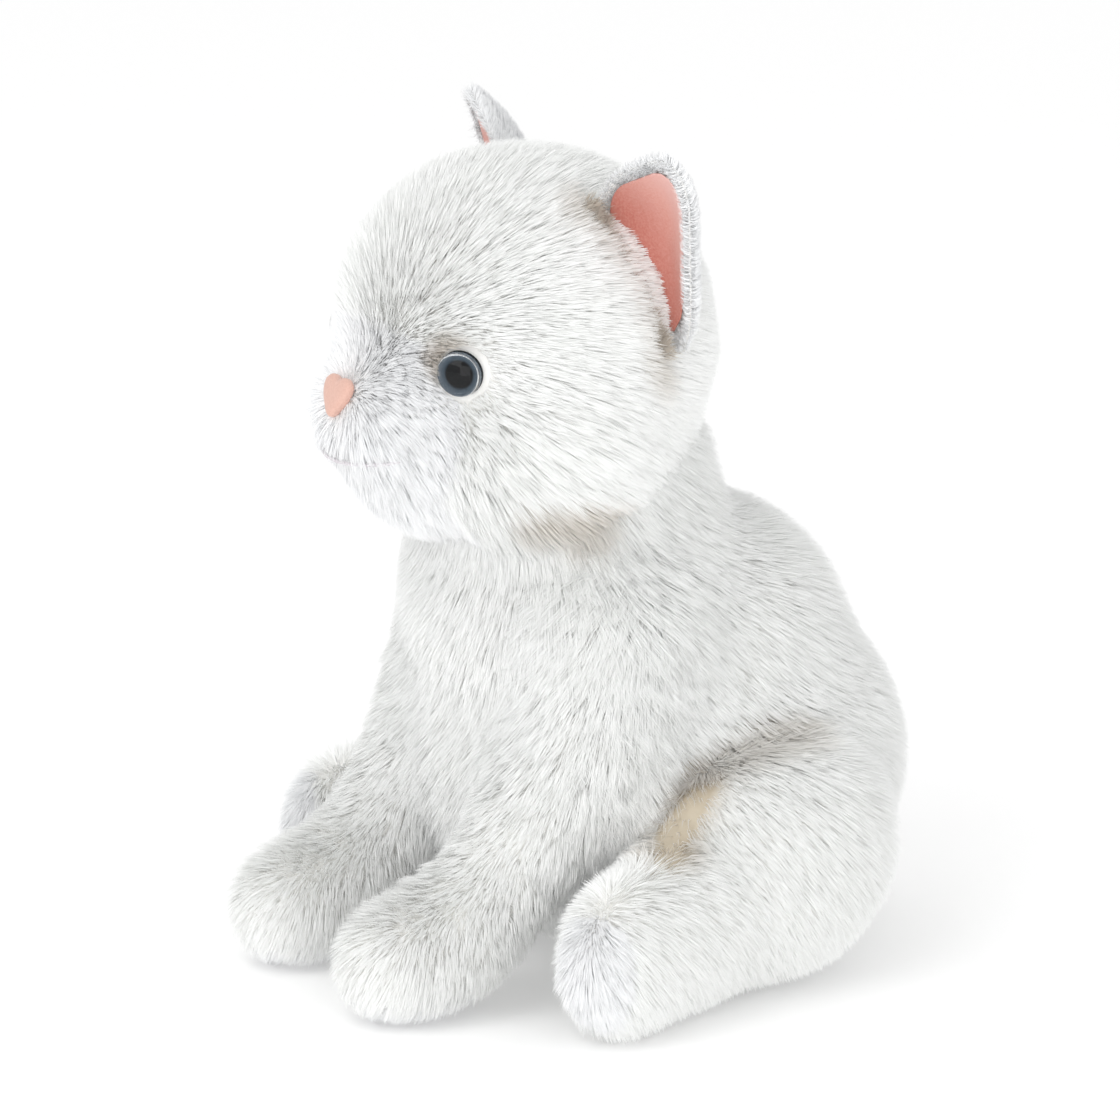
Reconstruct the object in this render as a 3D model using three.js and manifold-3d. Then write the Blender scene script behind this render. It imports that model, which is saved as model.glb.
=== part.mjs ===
// A seated plush cat: fur-fabric panels sewn round stuffing, with safety eyes, a nose pad and soft joints.
// Millimetres. +X is the cat's left, the cat faces -Y, +Z is up. The origin is on the floor, at the
// middle of the flat seat under the rump.
import * as THREE from "three";
import { mergeVertices } from "three/addons/utils/BufferGeometryUtils.js";
import Module from "manifold-3d";

const wasm = await Module();
wasm.setup();

const at = (x, y, z) => new THREE.Vector3(x, y, z);
const UP = at(0, 0, 1);
const SIDEWAYS = at(1, 0, 0);

// ---- Fabrics and clearances ---------------------------------------------------------------------
const PILE = 6; // long-pile plush: backing and pile together
const SHORT_PILE = 3; // muzzle, soles and ear backs
const LINING = 1.6; // velour of the ear lining
const SEAM_GAP = 0.5; // between two panels of one skin
const FIT_GAP = 0.4; // between pieces that touch
const MOVE_GAP = 1.4; // round a piece that turns
const FORM_BLEND = 6; // how far two padded lobes melt into each other

// ---- Torso --------------------------------------------------------------------------------------
const rump = { centre: at(0, 0, 57), radii: at(68, 68, 61) };
const back = { centre: at(0, -3, 101), radii: at(52, 49, 42) };
const chest = { centre: at(0, -38, 116), radii: at(53, 50, 48) };
const belly = { centre: at(0, -38, 66), radii: at(58, 45, 56) };
const nape = { centre: at(0, -41, 148), radii: at(42, 42, 38) };
const BELLY_PANEL_HALF = 26; // half width of the strip from the throat to the tail
const SEAT_PANEL_TOP = 13; // how far the strip climbs where it passes under the seat
const SEAT_PAD = 5; // thickness of the fabric that the cat sits on
const pouch = { centre: at(0, -2, 12), radii: at(36, 36, 15) };

// ---- Head ---------------------------------------------------------------------------------------
const cranium = { centre: at(0, -54.5, 204), radii: at(55, 55, 53) };
const cheek = { centre: at(26, -67, 177), radii: at(34, 34, 31) };
const snout = { centre: at(0, -99, 180.5), radii: at(25.5, 26, 21) };
const chin = { centre: at(0, -92, 165), radii: at(21, 20, 18) };
const MUZZLE_BACK = -100; // the muzzle panel lies in front of this plane
const MUZZLE_TOP = 207; // and below the brow
const THROAT_HALF = 21; // half width of the short-pile throat under the chin
const THROAT_TOP = 164;
const GUSSET_HALF = 17; // half width of the strip from brow to nape
const NECK_PIVOT = at(0, -50, 152);
const NECK_RADIUS = 21;
const HEAD_TURN = 20; // degrees each way
const HEAD_NOD = 10;

// ---- Eyes, nose and mouth -----------------------------------------------------------------------
const EYE_LINE = at(30, -41, -5); // from the middle of the cranium
const EYE_RADIUS = 7;
const EYE_DOME = 4.6; // height of the clear dome
const EYE_PLATE = 1.2; // thickness of the painted plate behind it
const EYE_SINK = 3.2; // how deep the plate lies in the pile
const SHANK_RADIUS = 1.8;
const SHANK_LENGTH = 12;
const WASHER_RADIUS = 6.5;
const WASHER_THICK = 1.2;
const NOSE_WIDTH = 15;
const NOSE_HEIGHT = 13;
const NOSE_THICK = 3;
const NOSE_LINE = at(0, -30, 10); // from the middle of the snout
const MOUTH_DROP = 17; // how far the smile lies below the middle of the snout
const MOUTH_HALF = 13;
const THREAD_RADIUS = 0.8;

// ---- Ears: corners as directions from the middle of the cranium ---------------------------------
const EAR_INNER = at(31, 6, 42);
const EAR_OUTER = at(48, 20, -1);
const EAR_TIP = at(62, 17, 57);
const EAR_REACH = 30; // how far the tip stands off the head
const EAR_ROUNDNESS = 2.8; // higher is more pointed
const EAR_CUP = 9;
const EAR_ROOT = 10; // length hidden in the head before it is trimmed
const EAR_THICK = 6;
const EAR_FULL = 5; // how far the rim swells beyond the straight edges
const LINING_INSET = 7;
const EAR_FOLD = 15;

// ---- Front legs ---------------------------------------------------------------------------------
const SHOULDER = at(33, -46, 117);
const FRONT_SWING = [-5, 30];
const legFront = -rump.radii.y; // below the shoulder the leg runs forward from the rump's front
const frontStations = [
  { centre: at(36, -44, 112), half: at(26, 26, 0) },
  { centre: at(38, legFront + 14, 86), half: at(25, 25, 0) },
  { centre: at(37, legFront - 1, 60), half: at(22, 22, 0) },
  { centre: at(35, legFront - 19, 37), half: at(20, 20, 0) },
  { centre: at(34, legFront - 33, 24), half: at(21.5, 22, 0) },
  { centre: at(33.5, legFront - 46, 20), half: at(20.5, 19.5, 0) },
  { centre: at(33.5, legFront - 53, 19), half: at(19, 18, 0) },
];
const FRONT_SOLE_TOP = 9; // the short-pile sole wraps the paw up to here
const FRONT_SOLE_BACK = legFront - 22; // and runs forward from here

// ---- Hind legs ----------------------------------------------------------------------------------
const THIGH_STAND_OFF = 7; // how far the thigh's middle lies inside the rump's side
const HIP_HEIGHT = 46;
const HIND_RAISE = [-4, 12]; // further up it would press on the front leg
const thigh = { radii: at(26, 44, 40), back: -6, height: 43 };
const shin = { radii: at(20, 34, 27), back: -40, height: 29, outward: 9 };
const foot = { radii: at(17, 26, 25), back: -69, height: 25.5, outward: 21 };
const FOOT_SPLAY = 27; // degrees that the feet turn out
const HIND_SOLE_DEPTH = 11; // how far the sole panel reaches back from the foot's front

// ---- Tail: lies on the floor round the cat's right thigh ----------------------------------------
const TAIL_RADIUS = 10.5;
const TAIL_SWING = [-4, 30];
// Degrees round from the back, distance off the rump's widest line, and height of the middle.
const tailRun = [
  { turn: 4, standOff: -24, height: 24 },
  { turn: 13, standOff: -6, height: 14 },
  { turn: 25, standOff: 7, height: 10 },
  { turn: 40, standOff: 13, height: 9.5 },
  { turn: 54, standOff: 17, height: 9.5 },
  { turn: 66, standOff: 20, height: 9.5 },
];

// ---- Materials ----------------------------------------------------------------------------------
const finish = (color, roughness, metalness = 0) => ({ color, roughness, metalness });
const LONG_FUR = finish(0xede9e2, 0.95);
const SHORT_FUR = finish(0xe9e8eb, 0.9);
const EAR_PINK = finish(0xdca59c, 0.75);
const NOSE_PINK = finish(0xdeb9ac, 0.8);
const THREAD = finish(0xb9aab0, 0.8);
const WADDING = finish(0xf4f2ec, 1);
const POUCH_CLOTH = finish(0xd9d4c8, 0.9);
const EYE_CLEAR = finish(0x46535e, 0.05);
const EYE_PAINT = finish(0x5b6b78, 0.35);
const EYE_NYLON = finish(0xe4e2dc, 0.5);

const RIGHT_ANGLE = Math.PI / 2;
const radians = THREE.MathUtils.degToRad;
const mirrored = (point) => at(-point.x, point.y, point.z);
const SWEEP_STEP = 5; // degrees between the places at which a turning form is looked at

// ---- Solids -------------------------------------------------------------------------------------

// A closed geometry as a solid that can be joined and cut.
function solid(geometry) {
  const bare = geometry.index ? geometry.clone() : geometry;
  bare.deleteAttribute("normal");
  bare.deleteAttribute("uv");
  const merged = mergeVertices(bare, 1e-4);
  return new wasm.Manifold(
    new wasm.Mesh({
      numProp: 3,
      vertProperties: merged.attributes.position.array,
      triVerts: new Uint32Array(merged.index.array),
    }),
  );
}

// A named mesh from a solid.
function piece(name, made, look) {
  const cut = made.getMesh();
  const geometry = new THREE.BufferGeometry();
  geometry.setAttribute("position", new THREE.BufferAttribute(cut.vertProperties, 3));
  geometry.setIndex(new THREE.BufferAttribute(cut.triVerts, 1));
  geometry.computeVertexNormals();
  const mesh = new THREE.Mesh(geometry, new THREE.MeshStandardMaterial(look));
  mesh.name = name;
  return mesh;
}

const ACROSS_MIDDLE = new THREE.Matrix4().makeScale(-1, 1, 1);
const mirroredSolid = (made) => made.transform(ACROSS_MIDDLE.elements);

// A box between two corners.
function block(low, high) {
  const size = high.clone().sub(low);
  const middle = low.clone().add(high).multiplyScalar(0.5);
  return solid(
    new THREE.BoxGeometry(size.x, size.y, size.z).translate(middle.x, middle.y, middle.z),
  );
}

const FAR = 400;
const BELOW_FLOOR = block(at(-FAR, -FAR, -FAR), at(FAR, FAR, 0));

function ball(centre, radius) {
  const columns = 16;
  const rows = 10;
  return solid(
    new THREE.SphereGeometry(radius, columns, rows).translate(centre.x, centre.y, centre.z),
  );
}

// ---- Padded forms -------------------------------------------------------------------------------
// A form is a function of a point: below zero inside, above it outside, in millimetres or nearly so.

// The smooth union of ellipsoidal lobes.
const lobed = (lobes) => (point) => {
  let sum = 0;
  for (const lobe of lobes) {
    const p = point.clone().sub(lobe.centre);
    if (lobe.turn) p.applyAxisAngle(UP, -lobe.turn);
    const near = p.divide(lobe.radii);
    const size = near.length();
    const slope = near.divide(lobe.radii).length() || 1;
    sum += Math.exp((-size * (size - 1)) / slope / FORM_BLEND);
  }
  return -FORM_BLEND * Math.log(sum);
};

// Everything that a form passes through as it turns about an axis from one limit to the other.
const swept = (form, pivot, axis, [low, high]) => {
  const count = Math.ceil((high - low) / SWEEP_STEP);
  const turns = Array.from({ length: count + 1 }, (_, i) =>
    new THREE.Quaternion().setFromAxisAngle(axis, -radians(low + ((high - low) * i) / count)),
  );
  return (point) => {
    const arm = point.clone().sub(pivot);
    return Math.min(...turns.map((turn) => form(arm.clone().applyQuaternion(turn).add(pivot))));
  };
};

// The outermost point of a form along a line from a start point, grown or shrunk by an offset.
function surfacePoint(form, start, direction, offset = 0) {
  const reach = 180;
  const stride = 4;
  const along = direction.clone().normalize();
  const value = (t) => form(start.clone().addScaledVector(along, t)) - offset;
  let outside = reach;
  while (outside > stride && value(outside - stride) > 0) outside -= stride;
  let inside = outside - stride;
  for (let i = 0; i < 12; i += 1) {
    const middle = (inside + outside) / 2;
    if (value(middle) > 0) outside = middle;
    else inside = middle;
  }
  return start.clone().addScaledVector(along, outside);
}

// A closed skin on a form: a sphere whose points are moved out to it from a point inside.
function padded(form, start, offset, columns, rows) {
  const sphere = new THREE.SphereGeometry(1, columns, rows).rotateX(RIGHT_ANGLE);
  const spots = sphere.attributes.position;
  for (let i = 0; i < spots.count; i += 1) {
    const direction = new THREE.Vector3().fromBufferAttribute(spots, i);
    const spot = surfacePoint(form, start, direction, offset);
    spots.setXYZ(i, spot.x, spot.y, spot.z);
  }
  return solid(sphere);
}

// A limb along a row of stations with rounded ends: a sphere whose rows are laid along the curve.
function limb(stations, side, offset, columns, rows, capRows = 4) {
  const line = new THREE.CatmullRomCurve3(stations.map((station) => station.centre));
  const girth = new THREE.CatmullRomCurve3(stations.map((station) => station.half));
  const sphere = new THREE.SphereGeometry(1, columns, rows);
  const spots = sphere.attributes.position;
  for (let i = 0; i < spots.count; i += 1) {
    const polar = Math.acos(THREE.MathUtils.clamp(spots.getY(i), -1, 1));
    const row = Math.round((polar / Math.PI) * rows);
    const ring = Math.sin(polar) || 1;
    const along = THREE.MathUtils.clamp((row - capRows) / (rows - 2 * capRows), 0, 1);
    const capRow = Math.min(row, rows - row, capRows);
    const lift = (capRow / capRows) * RIGHT_ANGLE;
    const half = girth.getPoint(along);
    const tangent = line.getTangent(along);
    const other = tangent.clone().cross(side).normalize();
    const outward = along > 0.5 ? 1 : -1;
    const spot = line
      .getPoint(along)
      .addScaledVector(tangent, outward * Math.cos(lift) * (half.y + offset))
      .addScaledVector(side, (spots.getX(i) / ring) * Math.sin(lift) * (half.x + offset))
      .addScaledVector(other, (spots.getZ(i) / ring) * Math.sin(lift) * (half.y + offset));
    spots.setXYZ(i, spot.x, spot.y, spot.z);
  }
  return solid(sphere);
}

// ---- Head and torso forms -----------------------------------------------------------------------
const mirroredLobe = (lobe) => ({ ...lobe, centre: mirrored(lobe.centre) });
const torsoForm = lobed([rump, back, chest, belly, nape]);
const headForm = lobed([cranium, cheek, mirroredLobe(cheek), snout, chin]);
const TORSO_START = belly.centre.clone().lerp(chest.centre, 0.35).setY(chest.centre.y / 2);
const HEAD_START = cranium.centre.clone().lerp(snout.centre, 0.3);

const headSkin = (offset) => padded(headForm, HEAD_START, offset, 20, 15);
const headCore = (offset) => padded(headForm, HEAD_START, offset, 16, 11);
const nodding = swept(headForm, NECK_PIVOT, SIDEWAYS, [-HEAD_NOD, HEAD_NOD]);
const nodAndTurn = swept(nodding, NECK_PIVOT, UP, [-HEAD_TURN, HEAD_TURN]);
const headRoom = padded(nodAndTurn, HEAD_START, MOVE_GAP, 20, 15);
const neckSocket = ball(NECK_PIVOT, NECK_RADIUS + MOVE_GAP);

const torsoSkin = (form, offset) => padded(form, TORSO_START, offset, 22, 16);
const torsoCore = (offset) => padded(torsoForm, TORSO_START, offset, 16, 12);
const seatPad = (grow) => block(at(-FAR, -FAR, -FAR), at(FAR, FAR, SEAT_PAD + grow));
const torsoInner = torsoCore(-PILE).subtract(seatPad(0));
const torsoFilling = torsoCore(-PILE - FIT_GAP).subtract(seatPad(FIT_GAP));

// ---- Torso pieces -------------------------------------------------------------------------------

// The strip of the belly panel: down the front and on under the seat.
function bellyStrip(halfWidth) {
  const front = block(at(-halfWidth, -FAR, -1), at(halfWidth, NECK_PIVOT.y, FAR));
  const under = block(
    at(-halfWidth, -FAR, -1),
    at(halfWidth, rump.centre.y + rump.radii.y / 2, SEAT_PANEL_TOP),
  );
  return front.add(under);
}

function makeTorso() {
  const skin = torsoSkin(torsoForm, 0)
    .subtract(BELOW_FLOOR)
    .subtract(torsoInner)
    .subtract(headRoom)
    .subtract(neckSocket);
  const sides = skin.subtract(bellyStrip(BELLY_PANEL_HALF + SEAM_GAP));
  const leftHalf = block(at(SEAM_GAP / 2, -FAR, -FAR), at(FAR, FAR, FAR));
  const rightHalf = block(at(-FAR, -FAR, -FAR), at(-SEAM_GAP / 2, FAR, FAR));
  const pouchForm = lobed([pouch]);
  const pouchRoom = padded(pouchForm, pouch.centre, FIT_GAP, 16, 8);
  const filled = padded(pouchForm, pouch.centre, 0, 16, 8).intersect(torsoFilling);
  const filling = torsoFilling.subtract(headRoom).subtract(neckSocket).subtract(pouchRoom);
  return [
    piece("belly_panel", skin.intersect(bellyStrip(BELLY_PANEL_HALF)), LONG_FUR),
    piece("torso_side_left", sides.intersect(leftHalf), LONG_FUR),
    piece("torso_side_right", sides.intersect(rightHalf), LONG_FUR),
    piece("torso_stuffing", filling, WADDING),
    piece("pellet_pouch", filled, POUCH_CLOTH),
    piece("neck_stuffing", ball(NECK_PIVOT, NECK_RADIUS), WADDING),
  ];
}

// ---- Eyes ---------------------------------------------------------------------------------------

// Where the left eye sits: its plate's back, and the way it looks.
function eyePlace() {
  const surface = surfacePoint(headForm, cranium.centre, EYE_LINE);
  const direction = EYE_LINE.clone().normalize();
  const back = surface.clone().addScaledVector(direction, -EYE_SINK - EYE_PLATE);
  const turn = new THREE.Quaternion().setFromUnitVectors(at(0, 1, 0), direction);
  return { back, turn };
}

// A profile of [radius, height] points turned about the eye's own axis and put in its place.
function turnedPart(profile, segments = 14) {
  const place = eyePlace();
  const points = profile.map(([radius, height]) => new THREE.Vector2(radius, height));
  const geometry = new THREE.LatheGeometry(points, segments);
  geometry.applyQuaternion(place.turn);
  geometry.translate(place.back.x, place.back.y, place.back.z);
  return solid(geometry);
}

// The clear dome stands on the plate.
const domeArc = Array.from({ length: 5 }, (_, i) => {
  const angle = (i / 5) * RIGHT_ANGLE;
  return [EYE_RADIUS * Math.cos(angle), EYE_PLATE + FIT_GAP + EYE_DOME * Math.sin(angle)];
});
const domeProfile = [
  [0, EYE_PLATE + FIT_GAP],
  ...domeArc,
  [0, EYE_PLATE + FIT_GAP + EYE_DOME],
];

// The painted plate and the shank behind it are one moulding.
const stemProfile = [
  [0, -SHANK_LENGTH],
  [SHANK_RADIUS, -SHANK_LENGTH],
  [SHANK_RADIUS, 0],
  [EYE_RADIUS, 0],
  [EYE_RADIUS, EYE_PLATE],
  [0, EYE_PLATE],
];

const WASHER_PLACE = -SHANK_LENGTH * 0.72; // along the shank, behind the fabric

const washerProfile = [
  [SHANK_RADIUS + FIT_GAP, WASHER_PLACE - WASHER_THICK],
  [WASHER_RADIUS, WASHER_PLACE - WASHER_THICK],
  [WASHER_RADIUS, WASHER_PLACE],
  [SHANK_RADIUS + FIT_GAP, WASHER_PLACE],
  [SHANK_RADIUS + FIT_GAP, WASHER_PLACE - WASHER_THICK],
];

// The room that an eye needs in the head: a well through the pile, the shank and the washer.
function eyeRoom() {
  const well = [
    [0, -SHANK_LENGTH - 1],
    [SHANK_RADIUS + FIT_GAP, -SHANK_LENGTH - 1],
    [SHANK_RADIUS + FIT_GAP, WASHER_PLACE - WASHER_THICK - FIT_GAP],
    [WASHER_RADIUS + FIT_GAP, WASHER_PLACE - WASHER_THICK - FIT_GAP],
    [WASHER_RADIUS + FIT_GAP, WASHER_PLACE + FIT_GAP],
    [SHANK_RADIUS + FIT_GAP, WASHER_PLACE + FIT_GAP],
    [SHANK_RADIUS + FIT_GAP, -FIT_GAP],
    [EYE_RADIUS + FIT_GAP, -FIT_GAP],
    [EYE_RADIUS + FIT_GAP, 3 * EYE_DOME],
    [0, 3 * EYE_DOME],
  ];
  const left = turnedPart(well);
  return left.add(mirroredSolid(left));
}

function makeEye() {
  return [
    ["eye_dome", turnedPart(domeProfile), EYE_CLEAR],
    ["eye_stem", turnedPart(stemProfile), EYE_PAINT],
    ["eye_washer", turnedPart(washerProfile), EYE_NYLON],
  ];
}

// ---- Head pieces --------------------------------------------------------------------------------

// The muzzle panel's room: the front of the snout, and a throat strip under the chin.
function muzzleRegion(grow) {
  const front = block(at(-FAR, -FAR, -FAR), at(FAR, MUZZLE_BACK + grow, MUZZLE_TOP + grow));
  const throat = block(
    at(-THROAT_HALF - grow, -FAR, -FAR),
    at(THROAT_HALF + grow, NECK_PIVOT.y - NECK_RADIUS / 2, THROAT_TOP + grow),
  );
  return front.add(throat);
}

// A soft inverted triangle with rounded corners, sewn on the front of the snout.
function nosePad() {
  const half = NOSE_WIDTH / 2;
  const outline = new THREE.Shape();
  outline.moveTo(0, NOSE_HEIGHT * 0.42);
  outline.quadraticCurveTo(half * 0.6, NOSE_HEIGHT * 0.62, half * 0.95, NOSE_HEIGHT * 0.36);
  outline.quadraticCurveTo(half * 1.1, NOSE_HEIGHT * 0.1, half * 0.45, -NOSE_HEIGHT * 0.28);
  outline.quadraticCurveTo(0, -NOSE_HEIGHT * 0.62, -half * 0.45, -NOSE_HEIGHT * 0.28);
  outline.quadraticCurveTo(-half * 1.1, NOSE_HEIGHT * 0.1, -half * 0.95, NOSE_HEIGHT * 0.36);
  outline.quadraticCurveTo(-half * 0.6, NOSE_HEIGHT * 0.62, 0, NOSE_HEIGHT * 0.42);
  const bevel = 0.8;
  const depth = NOSE_THICK + PILE / 2;
  const pad = new THREE.ExtrudeGeometry(outline, {
    depth,
    curveSegments: 5,
    bevelSegments: 2,
    bevelSize: bevel,
    bevelThickness: bevel,
    bevelOffset: -bevel,
  });
  const seat = surfacePoint(headForm, snout.centre, NOSE_LINE);
  const outward = NOSE_LINE.clone().normalize();
  const upward = SIDEWAYS.clone().cross(outward).normalize().negate();
  const basis = new THREE.Matrix4().makeBasis(
    upward.clone().cross(outward).normalize(),
    upward,
    outward,
  );
  pad.translate(0, 0, NOSE_THICK - depth - bevel).applyMatrix4(basis);
  pad.translate(seat.x, seat.y, seat.z);
  return solid(pad);
}

// The mouth: a thread that drops from the nose pad and runs into one long smile.
function mouthThread() {
  const count = 9;
  const line = Array.from({ length: count }, (_, i) => {
    const across = (i / (count - 1)) * 2 - 1;
    const drop = MOUTH_DROP - 3.2 * across * across;
    const direction = at(across * MOUTH_HALF, -snout.radii.y, -drop);
    const lift = THREAD_RADIUS + FIT_GAP;
    return surfacePoint(headForm, snout.centre, direction, lift);
  });
  const round = new THREE.Shape();
  round.absarc(0, 0, THREAD_RADIUS, 0, 2 * Math.PI, false);
  return solid(
    new THREE.ExtrudeGeometry(round, {
      steps: 10,
      curveSegments: 2,
      extrudePath: new THREE.CatmullRomCurve3(line),
    }),
  );
}

function makeHead() {
  const eyes = eyeRoom(1).add(eyeRoom(-1));
  const outer = headSkin(0);
  const skin = outer.subtract(headCore(-PILE)).subtract(neckSocket).subtract(eyes);
  const rest = skin.subtract(muzzleRegion(SEAM_GAP));
  const strip = block(at(-GUSSET_HALF, -FAR, -FAR), at(GUSSET_HALF, FAR, FAR));
  const gusset = rest.intersect(strip);
  const reach = GUSSET_HALF + SEAM_GAP;
  const left = rest.intersect(block(at(reach, -FAR, -FAR), at(FAR, FAR, FAR)));
  const right = rest.intersect(block(at(-FAR, -FAR, -FAR), at(-reach, FAR, FAR)));
  const muzzle = outer
    .subtract(headCore(-SHORT_PILE))
    .intersect(muzzleRegion(0))
    .subtract(neckSocket)
    .subtract(eyes);
  const muzzleFilling = headCore(-SHORT_PILE - FIT_GAP).intersect(muzzleRegion(-FIT_GAP));
  const filling = headCore(-PILE - FIT_GAP)
    .add(muzzleFilling)
    .subtract(neckSocket)
    .subtract(eyes);
  return [
    piece("head_gusset", gusset, LONG_FUR),
    piece("head_side_left", left, LONG_FUR),
    piece("head_side_right", right, LONG_FUR),
    piece("muzzle_panel", muzzle, SHORT_FUR),
    piece("head_stuffing", filling, WADDING),
    piece("nose_pad", nosePad().subtract(headSkin(FIT_GAP)), NOSE_PINK),
    piece("mouth_thread", mouthThread(), THREAD),
  ];
}

// ---- Ears ---------------------------------------------------------------------------------------

// The ear's own frame: its three corners, its middle, and the way it faces.
function earFrame() {
  const inner = surfacePoint(headForm, cranium.centre, EAR_INNER);
  const outer = surfacePoint(headForm, cranium.centre, EAR_OUTER);
  const root = surfacePoint(headForm, cranium.centre, EAR_TIP);
  const tip = root.clone().addScaledVector(EAR_TIP.clone().normalize(), EAR_REACH);
  const middle = inner.clone().add(outer).add(tip).divideScalar(3);
  const across = outer.clone().sub(inner).normalize();
  const facing = across.clone().cross(tip.clone().sub(inner)).normalize();
  if (facing.y > 0) facing.negate();
  const height = facing.clone().cross(across).normalize();
  const corners = [inner, outer, tip].map((corner) => {
    const offset = corner.clone().sub(middle);
    return new THREE.Vector2(offset.dot(across), offset.dot(height));
  });
  const edges = corners.map((corner, i) => {
    const next = corners[(i + 1) % corners.length];
    const normal = new THREE.Vector2(next.y - corner.y, corner.x - next.x).normalize();
    if (normal.dot(corner) < 0) normal.negate();
    return { normal, distance: normal.dot(corner) + (i === 0 ? EAR_ROOT : EAR_FULL) };
  });
  return { inner, outer, middle, across, height, facing, edges };
}

// How far out a flat point lies in the ear's rounded outline: 0 at the middle, 1 on the rim.
function earShare(frame, flat, inset) {
  const sum = frame.edges.reduce((total, edge) => {
    const share = Math.max(0, edge.normal.dot(flat) / (edge.distance - inset));
    return total + share ** EAR_ROUNDNESS;
  }, 0);
  return sum ** (1 / EAR_ROUNDNESS);
}

// A cupped leaf of an ear: a flattened sphere spread over the outline and sunk at its middle.
function earLeaf(frame, inset, halfThick, forward, columns, rows) {
  const sphere = new THREE.SphereGeometry(1, columns, rows);
  const spots = sphere.attributes.position;
  for (let i = 0; i < spots.count; i += 1) {
    const disc = new THREE.Vector2(spots.getX(i), spots.getZ(i));
    const out = disc.length();
    const direction = disc.clone().normalize();
    const rim = out > 0 ? 1 / earShare(frame, direction, inset) : 0;
    const flat = direction.multiplyScalar(rim * out);
    const cup = -EAR_CUP * (1 - earShare(frame, flat, 0) ** 2);
    const spot = frame.middle
      .clone()
      .addScaledVector(frame.across, flat.x)
      .addScaledVector(frame.height, flat.y)
      .addScaledVector(frame.facing, cup + forward + spots.getY(i) * halfThick);
    spots.setXYZ(i, spot.x, spot.y, spot.z);
  }
  const made = solid(sphere);
  return made.volume() < 0 ? solid(flipped(sphere)) : made;
}

// The same geometry with its faces turned round.
function flipped(geometry) {
  const index = geometry.index.array;
  for (let i = 0; i < index.length; i += 3) {
    [index[i + 1], index[i + 2]] = [index[i + 2], index[i + 1]];
  }
  return geometry;
}

function makeEar() {
  const frame = earFrame();
  const hinge = frame.outer.clone().sub(frame.inner).normalize();
  const folding = swept(headForm, frame.inner, hinge, [-EAR_FOLD, EAR_FOLD]);
  const room = padded(folding, HEAD_START, MOVE_GAP, 20, 15);
  const half = EAR_THICK / 2;
  const backLeaf = earLeaf(frame, 0, half, 0, 14, 6);
  const backGrown = earLeaf(frame, -FIT_GAP, half + FIT_GAP, 0, 14, 6);
  const lining = earLeaf(frame, LINING_INSET, LINING, half + FIT_GAP, 14, 6);
  return [
    ["ear_back", backLeaf.subtract(room), SHORT_FUR],
    ["ear_lining", lining.subtract(backGrown).subtract(room), EAR_PINK],
  ];
}

// ---- Legs and tail ------------------------------------------------------------------------------

// A limb's skin, its sole, and its stuffing. The sole takes what lies in its region.
function limbPieces(name, form, region, room) {
  const shell = form(0).subtract(BELOW_FLOOR).subtract(form(-PILE)).subtract(room);
  return [
    [`${name}_leg_skin`, shell.subtract(region(SEAM_GAP)), LONG_FUR],
    [`${name}_paw_sole`, shell.intersect(region(0)), SHORT_FUR],
    [`${name}_leg_stuffing`, form(-PILE - FIT_GAP).subtract(room), WADDING],
  ];
}

function makeFrontLeg() {
  const form = (offset) => limb(frontStations, SIDEWAYS, offset, 12, 14);
  const swinging = swept(torsoForm, SHOULDER, SIDEWAYS, FRONT_SWING);
  const room = torsoSkin(swinging, MOVE_GAP).add(headRoom);
  const region = (grow) =>
    block(at(-FAR, -FAR, -FAR), at(FAR, FRONT_SOLE_BACK + grow, FRONT_SOLE_TOP + grow));
  return limbPieces("front", form, region, room);
}

// The hind leg's lobes hang on the rump's width, so that the thigh always stands proud of it.
const thighSide = rump.radii.x - THIGH_STAND_OFF;
const splay = radians(FOOT_SPLAY);
const hindLobes = [thigh, shin, foot].map(({ radii, back, height, outward = 0 }) => ({
  centre: at(thighSide + outward, back, height),
  radii,
  turn: outward ? splay : 0,
}));
const hindForm = lobed(hindLobes);
const hindSkin = (offset) => padded(hindForm, hindLobes[1].centre, offset, 16, 12);

function makeHindLeg() {
  const pivot = at(rump.radii.x, rump.centre.y, HIP_HEIGHT);
  const raising = swept(torsoForm, pivot, SIDEWAYS, HIND_RAISE);
  const room = torsoSkin(raising, MOVE_GAP);
  const forward = at(Math.sin(splay), -Math.cos(splay), 0);
  const front = surfacePoint(hindForm, hindLobes[2].centre, forward);
  const region = (grow) => {
    const box = new THREE.BoxGeometry(FAR, FAR, FAR);
    box.translate(0, HIND_SOLE_DEPTH + grow - FAR / 2, 0);
    return solid(box.rotateZ(splay).translate(front.x, front.y, front.z));
  };
  return limbPieces("hind", hindSkin, region, room);
}

// The tail leaves the seat low down at the back and lies on the floor round the right thigh.
function makeTail() {
  const stations = tailRun.map(({ turn, standOff, height }) => {
    const angle = radians(turn);
    const x = -Math.sin(angle) * (rump.radii.x + standOff);
    const y = Math.cos(angle) * (rump.radii.y + standOff);
    return { centre: at(x, y, height), half: at(TAIL_RADIUS, TAIL_RADIUS, 0) };
  });
  const form = (offset) => limb(stations, UP, offset, 10, 16, 3);
  const swinging = swept(torsoForm, stations[0].centre, UP, TAIL_SWING);
  const rightThigh = mirroredSolid(hindSkin(MOVE_GAP));
  const room = torsoSkin(swinging, MOVE_GAP).add(rightThigh);
  const skin = form(0).subtract(BELOW_FLOOR).subtract(form(-PILE)).subtract(room);
  return [
    piece("tail_skin", skin, LONG_FUR),
    piece("tail_stuffing", form(-PILE - FIT_GAP).subtract(room), WADDING),
  ];
}

// ---- The cat ------------------------------------------------------------------------------------
const cat = new THREE.Group();
cat.add(...makeTorso(), ...makeHead(), ...makeTail());
for (const [name, made, look] of [
  ...makeEye(),
  ...makeEar(),
  ...makeFrontLeg(),
  ...makeHindLeg(),
]) {
  cat.add(piece(`${name}_left`, made, look), piece(`${name}_right`, mirroredSolid(made), look));
}

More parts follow.
